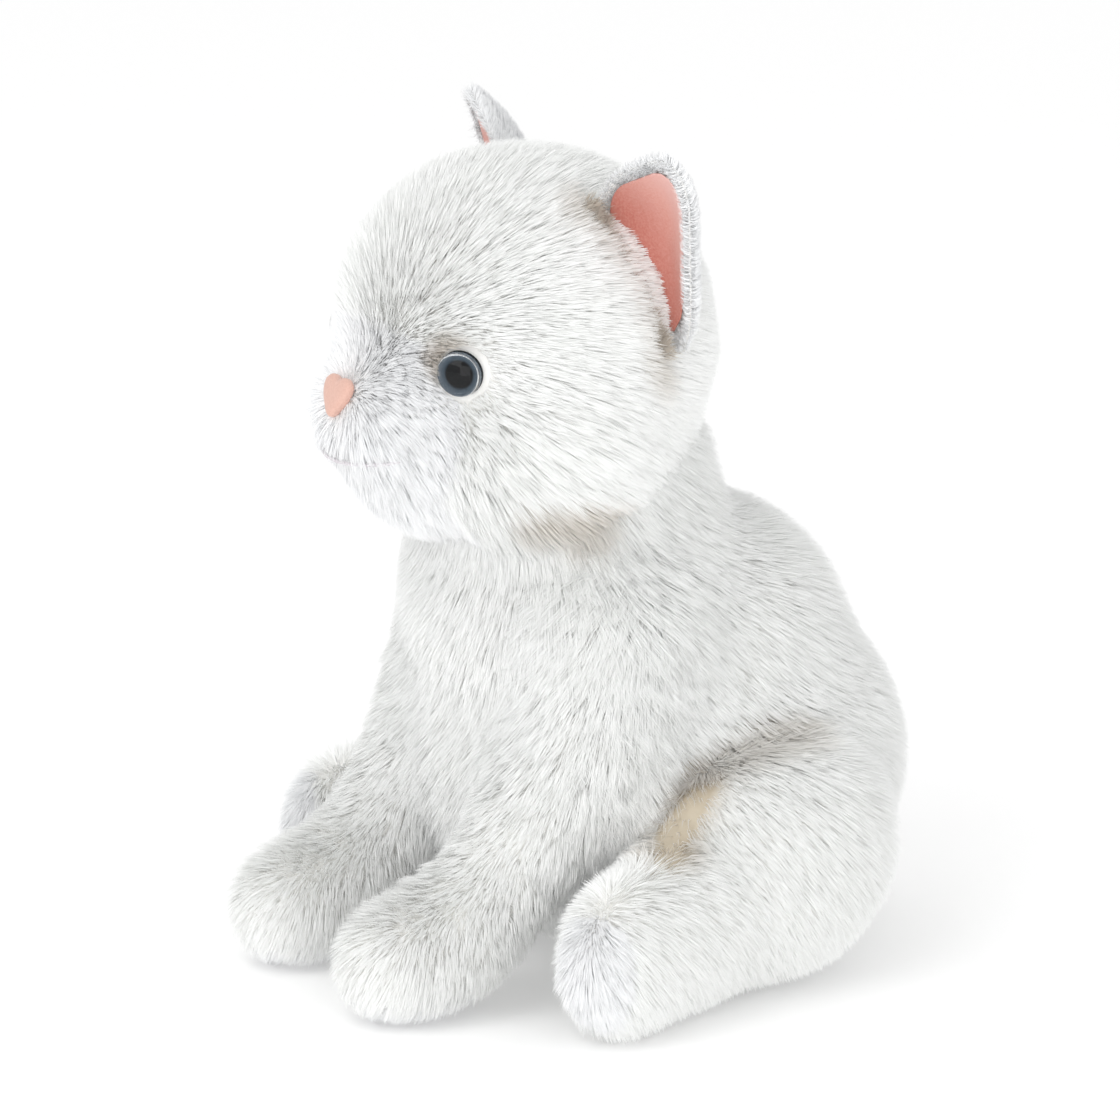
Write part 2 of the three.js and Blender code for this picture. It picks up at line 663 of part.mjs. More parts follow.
export default cat;
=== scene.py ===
# %% [markdown]
# # A seated plush cat
# A toy like this is cut from fur fabric: a woven backing with a pile of loose fibres standing on it. The
# panels are sewn inside out, turned, stuffed, and brushed until the seams disappear. What the eye meets
# is almost all pile, so this lesson spends its effort there. It first makes the stuffed forms as smooth
# surfaces, plumps the round ones with a short cloth simulation, and then plants some six hundred thousand
# real strands on them. Eyes, nose, mouth and ears follow.

import bpy
import numpy as np
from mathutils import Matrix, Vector


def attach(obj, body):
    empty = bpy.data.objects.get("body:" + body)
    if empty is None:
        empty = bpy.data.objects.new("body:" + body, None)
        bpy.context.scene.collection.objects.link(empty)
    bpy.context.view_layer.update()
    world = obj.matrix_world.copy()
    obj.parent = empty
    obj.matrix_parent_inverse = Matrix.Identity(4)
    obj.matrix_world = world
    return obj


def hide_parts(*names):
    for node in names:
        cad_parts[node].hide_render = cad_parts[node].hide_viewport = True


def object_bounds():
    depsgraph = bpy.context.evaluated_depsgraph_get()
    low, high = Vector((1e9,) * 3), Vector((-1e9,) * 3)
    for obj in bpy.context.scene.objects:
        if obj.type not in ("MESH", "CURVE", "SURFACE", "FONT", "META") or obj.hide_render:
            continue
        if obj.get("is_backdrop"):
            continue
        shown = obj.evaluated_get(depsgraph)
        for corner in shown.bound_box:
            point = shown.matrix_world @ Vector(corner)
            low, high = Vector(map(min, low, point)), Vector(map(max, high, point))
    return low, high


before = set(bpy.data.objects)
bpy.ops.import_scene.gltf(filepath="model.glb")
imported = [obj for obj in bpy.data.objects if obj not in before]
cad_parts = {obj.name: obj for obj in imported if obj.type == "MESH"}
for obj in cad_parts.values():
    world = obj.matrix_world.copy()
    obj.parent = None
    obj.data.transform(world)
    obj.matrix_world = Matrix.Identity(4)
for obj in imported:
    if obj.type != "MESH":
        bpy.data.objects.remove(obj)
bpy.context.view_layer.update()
MM = 0.001
SEED = 11

# %% [markdown]
# ## Forms as fields
# Every stuffed form here is a smooth union of egg-shaped lobes. A field is a function of points: below
# zero inside, zero on the surface, and about the distance in millimetres outside. Fields are handier than
# meshes for fur, because a strand can ask at any point how deep it is in the coat and which way is out.
# The lobes are the frame's own sizes, but for a slightly fuller crown, where the pile is brushed up.

# %% Small tools for rows of vectors
def unit(v):
    """Each row divided by its own length."""
    return v / np.maximum(np.linalg.norm(v, axis=-1, keepdims=True), 1e-9)


def dot(a, b):
    """The dot product of each row, kept as a column."""
    return (a * b).sum(-1, keepdims=True)


def one_side(p):
    """The points with x made positive, since both sides are alike."""
    return p * (0, 1, 1) + np.abs(p[..., :1]) * (1, 0, 0)


def mirrored(lobes):
    """The same lobes on the other side: x and the turn change sign."""
    return lobes * np.array([-1, 1, 1, 1, 1, 1, -1.0])


def lobed(lobes, blend):
    """The field of a smooth union: minus blend times the log of the sum of exp(-distance / blend). The
    distance to a lobe is size * (size - 1) / slope, where size is the point's length in units of the
    lobe's radii."""
    lobes = np.atleast_2d(np.array(lobes, float))

    def field(p):
        total = np.full(p.shape[:-1], 1e-30)
        for x, y, z, rx, ry, rz, turn in lobes:
            d = p - (x, y, z)
            if turn:
                c, s = np.cos(np.radians(turn)), np.sin(np.radians(turn))
                d = np.stack([c * d[..., 0] + s * d[..., 1], c * d[..., 1] - s * d[..., 0], d[..., 2]], -1)
            near = d / (rx, ry, rz)
            size = np.sqrt((near**2).sum(-1))
            slope = np.sqrt(((near / (rx, ry, rz)) ** 2).sum(-1)) + 1e-6
            total += np.exp(np.clip(-size * (size - 1) / slope / blend, -60, 60))
        return -blend * np.log(total)

    return field


def joined(fields, blend):
    """The smooth union of several fields."""
    return lambda p: -blend * np.log(sum(np.exp(np.clip(-f(p) / blend, -60, 60)) for f in fields) + 1e-30)


def outward(field, p, step=0.6):
    """The direction in which a field grows: the difference over a small step along x, y and z."""
    steps = np.eye(3) * step
    return unit(np.stack([field(p + s) - field(p - s) for s in steps], -1))


# %% The lobes: centre x y z, radii x y z, and the turn about the vertical in degrees
TORSO = np.array(
    [
        (0, 0, 57, 68, 68, 61, 0),  # rump
        (0, -3, 101, 52, 49, 42, 0),  # back
        (0, -38, 116, 53, 50, 48, 0),  # chest
        (0, -38, 66, 58, 45, 56, 0),  # belly
        (0, -41, 148, 42, 42, 38, 0),  # nape
    ],
    float,
)
CHEEK = np.array([(26, -67, 177, 34, 34, 31, 0)], float)
HEAD = np.vstack(
    [
        [(0, -56, 204.3, 56.5, 57.5, 53.7, 0)],  # cranium, with the pile brushed up from it
        CHEEK,
        mirrored(CHEEK),
        [(0, -99, 180.5, 25.5, 26, 21, 0)],  # snout
        [(0, -92, 165, 21, 20, 18, 0)],  # chin
    ]
)
HIND = np.array(
    [
        (61, -6, 43, 26, 44, 40, 0),  # thigh
        (70, -40, 29, 20, 34, 27, 27),  # shin
        (82, -69, 25.5, 17, 26, 25, 27),  # foot
    ],
    float,
)
# The centre line of the front leg and of the tail: x y z and the half width.
FRONT_LEG = np.array(
    [
        (36, -44, 112, 26),
        (38, -54, 86, 25),
        (37, -69, 60, 22),
        (35, -87, 37, 20),
        (34, -101, 24, 21.7),
        (33.5, -114, 20, 20),
        (33.5, -121, 19, 18.5),
    ],
    float,
)
TAIL_TURN = np.radians([4, 13, 25, 40, 54, 66])
TAIL_OUT = 68 + np.array([-24, -6, 7, 13, 17, 20.0])
TAIL_HIGH = np.array([24, 14, 10, 9.5, 9.5, 9.5])
TAIL_HALF = np.full(6, 10.5)
TAIL = np.stack([-np.sin(TAIL_TURN) * TAIL_OUT, np.cos(TAIL_TURN) * TAIL_OUT, TAIL_HIGH, TAIL_HALF], -1)


def along(stations, count):
    """A smooth curve through the stations, Catmull-Rom: between two stations it is the cubic whose slope
    at each is half the step between that station's neighbours."""
    ends = np.vstack([2 * stations[0] - stations[1], stations, 2 * stations[-1] - stations[-2]])
    t = np.linspace(0, len(stations) - 1, count)
    i = np.minimum(t.astype(int), len(stations) - 2)
    u = (t - i)[:, None]
    a, b, c, d = ends[i], ends[i + 1], ends[i + 2], ends[i + 3]
    return 0.5 * (2 * b + (c - a) * u + (2 * a - 5 * b + 4 * c - d) * u**2 + (3 * b - a - 3 * c + d) * u**3)


def chain(stations, count):
    """A limb's field: a row of round lobes along its curve, a little slimmer so that their union has the
    half width."""
    run = along(stations, count)
    half = run[:, 3:] - 1.5
    return lobed(np.hstack([run[:, :3], half, half, half, np.zeros_like(half)]), 2.5)


torso_field = lobed(TORSO, 6)
head_field = lobed(HEAD, 6)
front_stations = {"left": FRONT_LEG, "right": FRONT_LEG * (-1, 1, 1, 1)}
front_field = {side: chain(s, 12) for side, s in front_stations.items()}
hind_field = {"left": lobed(HIND, 6), "right": lobed(mirrored(HIND), 6)}
tail_field = chain(TAIL, 12)

# %% [markdown]
# The pile of one panel runs into the pile of the next, so the cat's outline is smoother than its pieces.
# `coat` is that outline. The chest, shoulders and neck melt together widely. The thigh melts into the
# rump at the back, but in front its seam leaves a deep crease, so the blend there is narrow.

# %% The outline of the whole coat
body_coat = joined([torso_field, front_field["left"], front_field["right"]], 8)
upper_coat = joined([body_coat, head_field], 13)


def coat(p):
    """The smooth union of the upper body, thighs and tail. Its blend widens from 1.5 mm in front of the
    hip to 7 mm behind it and high up, on a smooth step."""
    back_share = np.clip((p[..., 1] + 22) / 34, 0, 1)
    blend = 1.5 + 5.5 * back_share * back_share * (3 - 2 * back_share)
    parts = [upper_coat, hind_field["left"], hind_field["right"], tail_field]
    return -blend * np.log(sum(np.exp(np.clip(-f(p) / blend, -60, 60)) for f in parts) + 1e-30)


print("coat at the crown", float(coat(np.array([0, -54.5, 257.0]))))

# %% [markdown]
# ## Materials
# Fur fabric looks white but is three things: a backing cloth that shows tan where it is bare, darkened
# there with painted shade, pile that is duller near its root, and bright tips. Each strand carries three
# numbers: how far along it a point is, a chance number of its tuft, and how far it is darkened towards
# beige. That darkening is painted shade at the inner eye corners and in front of the ears. At the flank
# crease and the neck spot it is partly tan cloth and partly painted shade. The shader reads them, so the
# colour follows the fibres.

# %% Node helpers
def new_material(name, roughness, sheen=0.0, specular=0.3, sheen_roughness=0.4):
    """A material whose constant values sit on the shader itself."""
    m = bpy.data.materials.new(name)
    m.use_nodes = True
    shader = m.node_tree.nodes["Principled BSDF"]
    shader.inputs["Roughness"].default_value = roughness
    shader.inputs["Sheen Weight"].default_value = sheen
    shader.inputs["Sheen Roughness"].default_value = sheen_roughness
    shader.inputs["Specular IOR Level"].default_value = specular
    return m, m.node_tree, shader


def ramp(tree, value, stops):
    """A colour ramp on a value. stops are (position, colour)."""
    node = tree.nodes.new("ShaderNodeValToRGB")
    element = node.color_ramp.elements
    while len(element) < len(stops):
        element.new(0.5)
    for e, (place, colour) in zip(element, stops):
        e.position = place
        e.color = (*colour, 1)
    tree.links.new(value, node.inputs["Fac"])
    return node.outputs["Color"]


def mixed(tree, share, a, b, mode="MIX"):
    """Two colours mixed by a share. Each is a socket or a plain colour."""
    node = tree.nodes.new("ShaderNodeMix")
    node.data_type = "RGBA"
    node.blend_type = mode
    for socket, value in (("Factor_Float", share), ("A_Color", a), ("B_Color", b)):
        target = next(s for s in node.inputs if s.identifier == socket)
        if isinstance(value, bpy.types.NodeSocket):
            tree.links.new(value, target)
        else:
            target.default_value = value if socket == "Factor_Float" else (*value, 1)
    return next(s for s in node.outputs if s.identifier == "Result_Color")


def noise(tree, scale, detail=3.0, roughness=0.55):
    """A noise value on Object coordinates, scale in patterns per metre."""
    place = tree.nodes.new("ShaderNodeTexCoord")
    node = tree.nodes.new("ShaderNodeTexNoise")
    node.inputs["Scale"].default_value = scale
    node.inputs["Detail"].default_value = detail
    node.inputs["Roughness"].default_value = roughness
    tree.links.new(place.outputs["Object"], node.inputs["Vector"])
    return node.outputs["Fac"]


# %% A group for pile: root, tip and tuft colour, and painted shade, from the strand's own numbers
pile_group = bpy.data.node_groups.new("Pile colour", "ShaderNodeTree")
for socket_name in ("Root", "Tip", "Tint"):
    pile_group.interface.new_socket(socket_name, in_out="INPUT", socket_type="NodeSocketColor")
pile_group.interface.new_socket("Colour", in_out="OUTPUT", socket_type="NodeSocketColor")
g_in = pile_group.nodes.new("NodeGroupInput")
g_out = pile_group.nodes.new("NodeGroupOutput")
strand = pile_group.nodes.new("ShaderNodeAttribute")
strand.attribute_name = "strand"
parts = pile_group.nodes.new("ShaderNodeSeparateXYZ")
pile_group.links.new(strand.outputs["Vector"], parts.inputs["Vector"])
rise = ramp(pile_group, parts.outputs["X"], [(0.0, (0, 0, 0)), (0.55, (0.8, 0.8, 0.8)), (1.0, (1, 1, 1))])
up_strand = mixed(pile_group, rise, g_in.outputs["Root"], g_in.outputs["Tip"])
soft = ramp(pile_group, parts.outputs["Y"], [(0.0, (0, 0, 0)), (1.0, (1, 1, 1))])
patch = ramp(pile_group, noise(pile_group, 38, 2.0), [(0.38, (0, 0, 0)), (0.72, (1, 1, 1))])
share = mixed(pile_group, 0.5, soft, patch)
tinted = mixed(pile_group, share, up_strand, g_in.outputs["Tint"], "MULTIPLY")
# The third number darkens the pile towards beige: painted shade, and at the crease and neck spot partly tan
# cloth showing through.
shade_and_cloth_tint = ramp(pile_group, parts.outputs["Z"], [(0.0, (1, 1, 1)), (1.0, (0.66, 0.60, 0.53))])
shaded = mixed(pile_group, 1.0, tinted, shade_and_cloth_tint, "MULTIPLY")
pile_group.links.new(shaded, g_out.inputs["Colour"])


def pile_material(name, root, tip, tint, roughness=0.8, sheen=0.35):
    """Fur: the group gives the colour, and the sheen of loose fibres is set on the shader."""
    m, tree, shader = new_material(name, roughness, sheen, 0.25)
    group = tree.nodes.new("ShaderNodeGroup")
    group.node_tree = pile_group
    for socket_name, colour in (("Root", root), ("Tip", tip), ("Tint", tint)):
        group.inputs[socket_name].default_value = (*colour, 1)
    tree.links.new(group.outputs["Colour"], shader.inputs["Base Color"])
    return m


long_pile = pile_material("long pile", (0.97, 0.968, 0.955), (0.984, 0.988, 0.984), (0.990, 0.993, 0.988))
short_pile = pile_material("short pile", (0.96, 0.963, 0.967), (0.978, 0.981, 0.985), (0.986, 0.988, 0.991))


# %% A group for cloth: a plain weave on Object coordinates, with uneven dye
def woven(name, colour, deep, roughness, threads=900.0, relief=0.25, sheen=0.3):
    """Backing cloth or velour: fine noise for the nap, broader noise for uneven dye, and a bump from the
    same nap."""
    m, tree, shader = new_material(name, roughness, sheen, 0.25)
    nap = noise(tree, threads, 4.0, 0.7)
    dye = noise(tree, 55, 3.0)
    base = mixed(tree, ramp(tree, nap, [(0.3, (0, 0, 0)), (0.7, (1, 1, 1))]), deep, colour)
    shade = mixed(tree, ramp(tree, dye, [(0.35, (0.25, 0.25, 0.25)), (0.65, (0, 0, 0))]), base, deep)
    bump = tree.nodes.new("ShaderNodeBump")
    bump.inputs["Strength"].default_value = relief
    bump.inputs["Distance"].default_value = 0.0004
    tree.links.new(nap, bump.inputs["Height"])
    tree.links.new(bump.outputs["Normal"], shader.inputs["Normal"])
    tree.links.new(shade, shader.inputs["Base Color"])
    return m


backing = woven("fur backing cloth", (0.96, 0.955, 0.94), (0.92, 0.91, 0.885), 0.9)
backing_tree = backing.node_tree
bare = backing_tree.nodes.new("ShaderNodeAttribute")
bare.attribute_name = "bare"
# Where the cloth is bare it turns tan, darker than its own tone: partly the cloth's colour, partly painted
# shade in the crease and at the neck spot.
tan_and_painted_shade = ramp(backing_tree, bare.outputs["Fac"], [(0.1, (1, 1, 1)), (0.7, (0.64, 0.57, 0.46))])
under = backing_tree.nodes["Principled BSDF"].inputs["Base Color"]
cloth_colour = under.links[0].from_socket
backing_tree.links.new(mixed(backing_tree, 1.0, cloth_colour, tan_and_painted_shade, "MULTIPLY"), under)
print([m.name for m in bpy.data.materials])

# %% [markdown]
# ## The stuffed forms
# Under the pile each part is a bag of backing cloth filled with wadding. The bag is a grid of directions
# from a point inside, each carried out to the field's surface, or for a limb rings along its curve. A
# short cloth simulation with pressure then lets the round bags swell as stuffed ones do; the thin limbs
# are stuffed hard and keep their shape. The pile hides most of it, but it shows as tan cloth at the
# bottom of the flank crease, tinted darker there as painted shade, and it carries the roots.

# %% Grids to meshes
def grid_faces(rows, columns):
    """Faces of a closed grid whose columns wrap round, in quads, rows - 1 by columns."""
    r, c = np.meshgrid(np.arange(rows - 1), np.arange(columns), indexing="ij")
    n = (c + 1) % columns
    upper, lower = r * columns, (r + 1) * columns
    return np.stack([upper + c, upper + n, lower + n, lower + c], -1).reshape(-1, 4)


def add_mesh(name, points, faces, material, smooth=True):
    """An object at the origin from points in millimetres and faces of any size."""
    mesh = bpy.data.meshes.new(name)
    mesh.from_pydata((np.asarray(points) * MM).tolist(), [], [list(map(int, f)) for f in faces])
    mesh.materials.append(material)
    mesh.polygons.foreach_set("use_smooth", np.full(len(mesh.polygons), smooth))
    obj = bpy.data.objects.new(name, mesh)
    bpy.context.scene.collection.objects.link(obj)
    return obj


def closed_grid(name, rings, top, bottom, material):
    """A closed skin from rings of points, with a fan of triangles to one pole at each end."""
    rows, columns = rings.shape[:2]
    points = np.vstack([rings.reshape(-1, 3), top, bottom])
    first, last = rows * columns, rows * columns + 1
    c = np.arange(columns)
    n = (c + 1) % columns
    foot = (rows - 1) * columns
    faces = [*grid_faces(rows, columns).tolist(), *np.stack([np.full(columns, first), n, c], -1).tolist()]
    faces += np.stack([np.full(columns, last), foot + c, foot + n], -1).tolist()
    return add_mesh(name, points, faces, material)


def carried_out(field, start, directions, offset):
    """Points on a field's surface, grown by offset: along each direction from start, halve the span
    between an inside and an outside point until it is tiny."""
    inside, outside = np.zeros(directions.shape[:-1]), np.full(directions.shape[:-1], 130.0)
    for _ in range(22):
        middle = (inside + outside) / 2
        out = field(start + directions * middle[..., None]) > offset
        outside, inside = np.where(out, middle, outside), np.where(out, inside, middle)
    return start + directions * outside[..., None]


def ball_form(name, field, start, offset, columns, rows, material, lowest=2.2):
    """A stuffed bag round a point: polar directions, top to bottom, carried out to the field. Flat on the
    floor."""
    polar = np.linspace(0, np.pi, rows + 2)[1:-1]
    turn = np.linspace(0, 2 * np.pi, columns, endpoint=False)
    p, t = np.meshgrid(polar, turn, indexing="ij")
    directions = np.stack([np.sin(p) * np.cos(t), np.sin(p) * np.sin(t), np.cos(p)], -1)
    start = np.array(start, float)
    rings = carried_out(field, start, directions, offset)
    poles = carried_out(field, start, np.array([(0, 0, 1.0), (0, 0, -1.0)]), offset)
    rings[..., 2], poles[:, 2] = np.maximum(rings[..., 2], lowest), np.maximum(poles[:, 2], lowest)
    return closed_grid(name, rings[:, ::-1], poles[0], poles[1], material)


def limb_form(name, stations, offset, columns, rows, material, lowest=2.2):
    """A stuffed bag along a curve: rings square to it, and at each end rings that shrink on a quarter
    circle."""
    run = along(stations, rows)
    centre, half = run[:, :3], run[:, 3:] + offset
    ahead = unit(np.gradient(centre, axis=0))
    side = unit(np.cross(ahead, (0.0, 0.3, 1.0)))
    other = np.cross(side, ahead)
    turn = np.linspace(0, 2 * np.pi, columns, endpoint=False)
    circle = np.cos(turn)[:, None] * side[:, None] + np.sin(turn)[:, None] * other[:, None]
    lift = np.radians([72, 54, 36, 18])
    caps = []
    for end, sign in ((0, -1), (-1, 1)):
        ring = centre[end] + sign * np.sin(lift)[:, None, None] * half[end] * ahead[end]
        caps.append(ring + np.cos(lift)[:, None, None] * half[end] * circle[end])
    rings = np.concatenate([caps[0], centre[:, None] + half[:, None] * circle, caps[1][::-1]])
    top, bottom = centre[0] - half[0] * ahead[0], centre[-1] + half[-1] * ahead[-1]
    rings[..., 2] = np.maximum(rings[..., 2], lowest)
    return closed_grid(name, rings, top, bottom, material)


def face_outwards(obj):
    """Turns the mesh's faces over if its signed volume, the sum of corner triple products, is below zero."""
    mesh = obj.data
    mesh.calc_loop_triangles()
    p = np.empty(len(mesh.vertices) * 3)
    mesh.vertices.foreach_get("co", p)
    t = np.empty(len(mesh.loop_triangles) * 3, int)
    mesh.loop_triangles.foreach_get("vertices", t)
    a, b, c = p.reshape(-1, 3)[t.reshape(-1, 3)].transpose(1, 0, 2)
    if (a * np.cross(b, c)).sum() < 0:
        mesh.flip_normals()
    return obj


# %% Swell a bag as a stuffed one does
LOWEST_CLOTH = 1.5  # the swollen cloth stays this far above the floor


def plump(obj, cap=1.6, frames=12):
    """Cloth with pressure and no gravity for a few frames, then each point's travel is capped, in
    millimetres."""
    scene = bpy.context.scene
    cloth = obj.modifiers.new("Cloth", "CLOTH")
    cloth.settings.use_pressure = True
    cloth.settings.uniform_pressure_force = 4.0
    cloth.settings.effector_weights.gravity = 0.0
    cloth.settings.tension_stiffness = 25.0
    cloth.point_cache.frame_end = frames
    before = np.empty(len(obj.data.vertices) * 3)
    obj.data.vertices.foreach_get("co", before)
    for f in range(1, frames + 1):
        scene.frame_set(f)
    baked = obj.evaluated_get(bpy.context.evaluated_depsgraph_get())
    after = np.empty_like(before)
    baked.data.vertices.foreach_get("co", after)
    obj.modifiers.remove(cloth)
    scene.frame_set(1)
    step = (after - before).reshape(-1, 3)
    far = np.linalg.norm(step, axis=1, keepdims=True)
    step *= np.minimum(1, cap * MM / np.maximum(far, 1e-9))
    moved = before.reshape(-1, 3) + step
    moved[:, 2] = np.maximum(moved[:, 2], LOWEST_CLOTH * MM)
    obj.data.vertices.foreach_set("co", moved.ravel())
    obj.data.update()
    print(obj.name, "swelled by up to", round(float(np.linalg.norm(step, axis=1).max() / MM), 2), "mm")
    return obj


# %% The bags
BACKING_DEPTH = -5.0  # the cloth lies this far under the tips of the pile
torso_bag = ball_form("torso_form", torso_field, (0, -30, 84), BACKING_DEPTH, 72, 44, backing)
head_bag = ball_form("head_form", head_field, (0, -66, 197), BACKING_DEPTH, 64, 40, backing)
leg_bags, thigh_bags = {}, {}
for side_name, sign in (("left", 1), ("right", -1)):
    leg_bags[side_name] = limb_form(
        f"front_leg_form_{side_name}", front_stations[side_name], BACKING_DEPTH, 28, 26, backing
    )
    shin = (sign * 70, -40, 29)
    thigh_bags[side_name] = ball_form(
        f"hind_leg_form_{side_name}", hind_field[side_name], shin, BACKING_DEPTH, 44, 30, backing
    )
tail_bag = limb_form("tail_form", TAIL, -6.0, 20, 26, backing)
bags = [torso_bag, head_bag, *leg_bags.values(), *thigh_bags.values(), tail_bag]
for bag in bags:
    face_outwards(bag)
for bag in (torso_bag, head_bag, *thigh_bags.values()):
    plump(bag)
print(sum(len(b.data.polygons) for b in bags), "faces in", len(bags), "bags")

# %% [markdown]
# ## Planting the pile
# Blender's hair system would be the usual way, but hair curves stay in Blender, and this part has to
# leave it as a mesh. So every strand is a narrow ribbon of three triangles: it starts under the cloth,
# stands up along the outward direction, leans with the brushing, bends at half way and ends in a point.
# Strands lean towards the middle of their tuft, which gives the clumps and the small dark partings of
# brushed plush.

# %% Roots on a bag
def roots_on(obj, per_square_mm, rng):
    """Random points on a mesh, evenly by area: pick triangles by their share of it, then a random spot in
    each."""
    mesh = obj.data
    mesh.calc_loop_triangles()
    p = np.empty(len(mesh.vertices) * 3)
    mesh.vertices.foreach_get("co", p)
    t = np.empty(len(mesh.loop_triangles) * 3, int)
    mesh.loop_triangles.foreach_get("vertices", t)
    a, b, c = (p.reshape(-1, 3) / MM)[t.reshape(-1, 3)].transpose(1, 0, 2)
    area = np.linalg.norm(np.cross(b - a, c - a), axis=1) / 2
    pick = rng.choice(len(area), int(area.sum() * per_square_mm), p=area / area.sum())
    u, v = rng.random((2, len(pick), 1))
    flip = u + v > 1
    u, v = np.where(flip, 1 - u, u), np.where(flip, 1 - v, v)
    return a[pick] + u * (b - a)[pick] + v * (c - a)[pick]


# %% Tufts: the nearest of a jittered lattice of centres
def chance(cells, salt):
    """Three even chance numbers for each whole-numbered cell, from the sine of a mix of its numbers."""
    turns = np.array([[127.1, 269.5, 419.2], [311.7, 183.3, 371.9], [74.7, 246.1, 124.6]])
    mix = cells @ turns + salt * 17.3
    return np.modf(np.abs(np.sin(mix) * 43758.5453))[0]


def tufts(p, size, salt):
    """For each point the centre of its tuft and three chance numbers that the tuft shares."""
    home = np.floor(p / size)
    best = np.full(len(p), 1e9)
    centre, luck = np.zeros_like(p), np.zeros_like(p)
    for step in np.array(np.meshgrid([-1, 0, 1], [-1, 0, 1], [-1, 0, 1])).reshape(3, -1).T:
        cell = home + step
        spot = (cell + chance(cell, salt)) * size
        far = ((spot - p) ** 2).sum(1)
        nearer = far < best
        best = np.where(nearer, far, best)
        centre[nearer], luck[nearer] = spot[nearer], chance(cell[nearer], salt + 5)
    return centre, luck


# %% Strands to one mesh
def ribbon_mesh(name, points, across, number, material):
    """points is strands x 3 x 3: root, bend and tip. across is the half width vector at root and bend.
    Five corners and three triangles a strand. Each strand has its own small cell of the bake map, in
    rows of a square."""
    count = len(points)
    corners = np.stack(
        [
            points[:, 0] - across[:, 0],
            points[:, 0] + across[:, 0],
            points[:, 1] - across[:, 1],
            points[:, 1] + across[:, 1],
            points[:, 2],
        ],
        1,
    )
    mesh = bpy.data.meshes.new(name)
    mesh.vertices.add(count * 5)
    mesh.vertices.foreach_set("co", (corners * MM).ravel())
    pattern = np.array([0, 1, 3, 0, 3, 2, 2, 3, 4])
    index = (np.arange(count)[:, None] * 5 + pattern).ravel()
    mesh.loops.add(len(index))
    mesh.loops.foreach_set("vertex_index", index)
    mesh.polygons.add(count * 3)
    mesh.polygons.foreach_set("loop_start", np.arange(0, count * 9, 3))
    mesh.polygons.foreach_set("use_smooth", np.ones(count * 3, bool))
    values = np.zeros((count, 5, 3))
    values[..., 0] = [0, 0, 0.55, 0.55, 1]
    values[..., 1:] = number[:, None]
    attribute = mesh.attributes.new("strand", "FLOAT_VECTOR", "POINT")
    attribute.data.foreach_set("vector", values.ravel())
    side = int(np.ceil(np.sqrt(count)))
    cell = np.stack([np.arange(count) % side, np.arange(count) // side], -1)[:, None] / side
    local = np.array([(0.1, 0.1), (0.9, 0.1), (0.1, 0.5), (0.9, 0.5), (0.5, 0.9)]) / side
    layer = mesh.uv_layers.new(name="OFBake")
    layer.data.foreach_set("uv", (cell + local)[:, pattern].ravel())
    mesh.materials.append(material)
    mesh.update(calc_edges=True)
    obj = bpy.data.objects.new(name, mesh)
    bpy.context.scene.collection.objects.link(obj)
    return obj


# %% Growing a coat
VALLEY_DEPTH = -7.5  # roots deeper than this under the outline are lifted to it
SEAT_HIGH = 4.5  # below this height the pile is pressed on the ground, so
SEAT_BARE = 0.6  # this share of it is left out


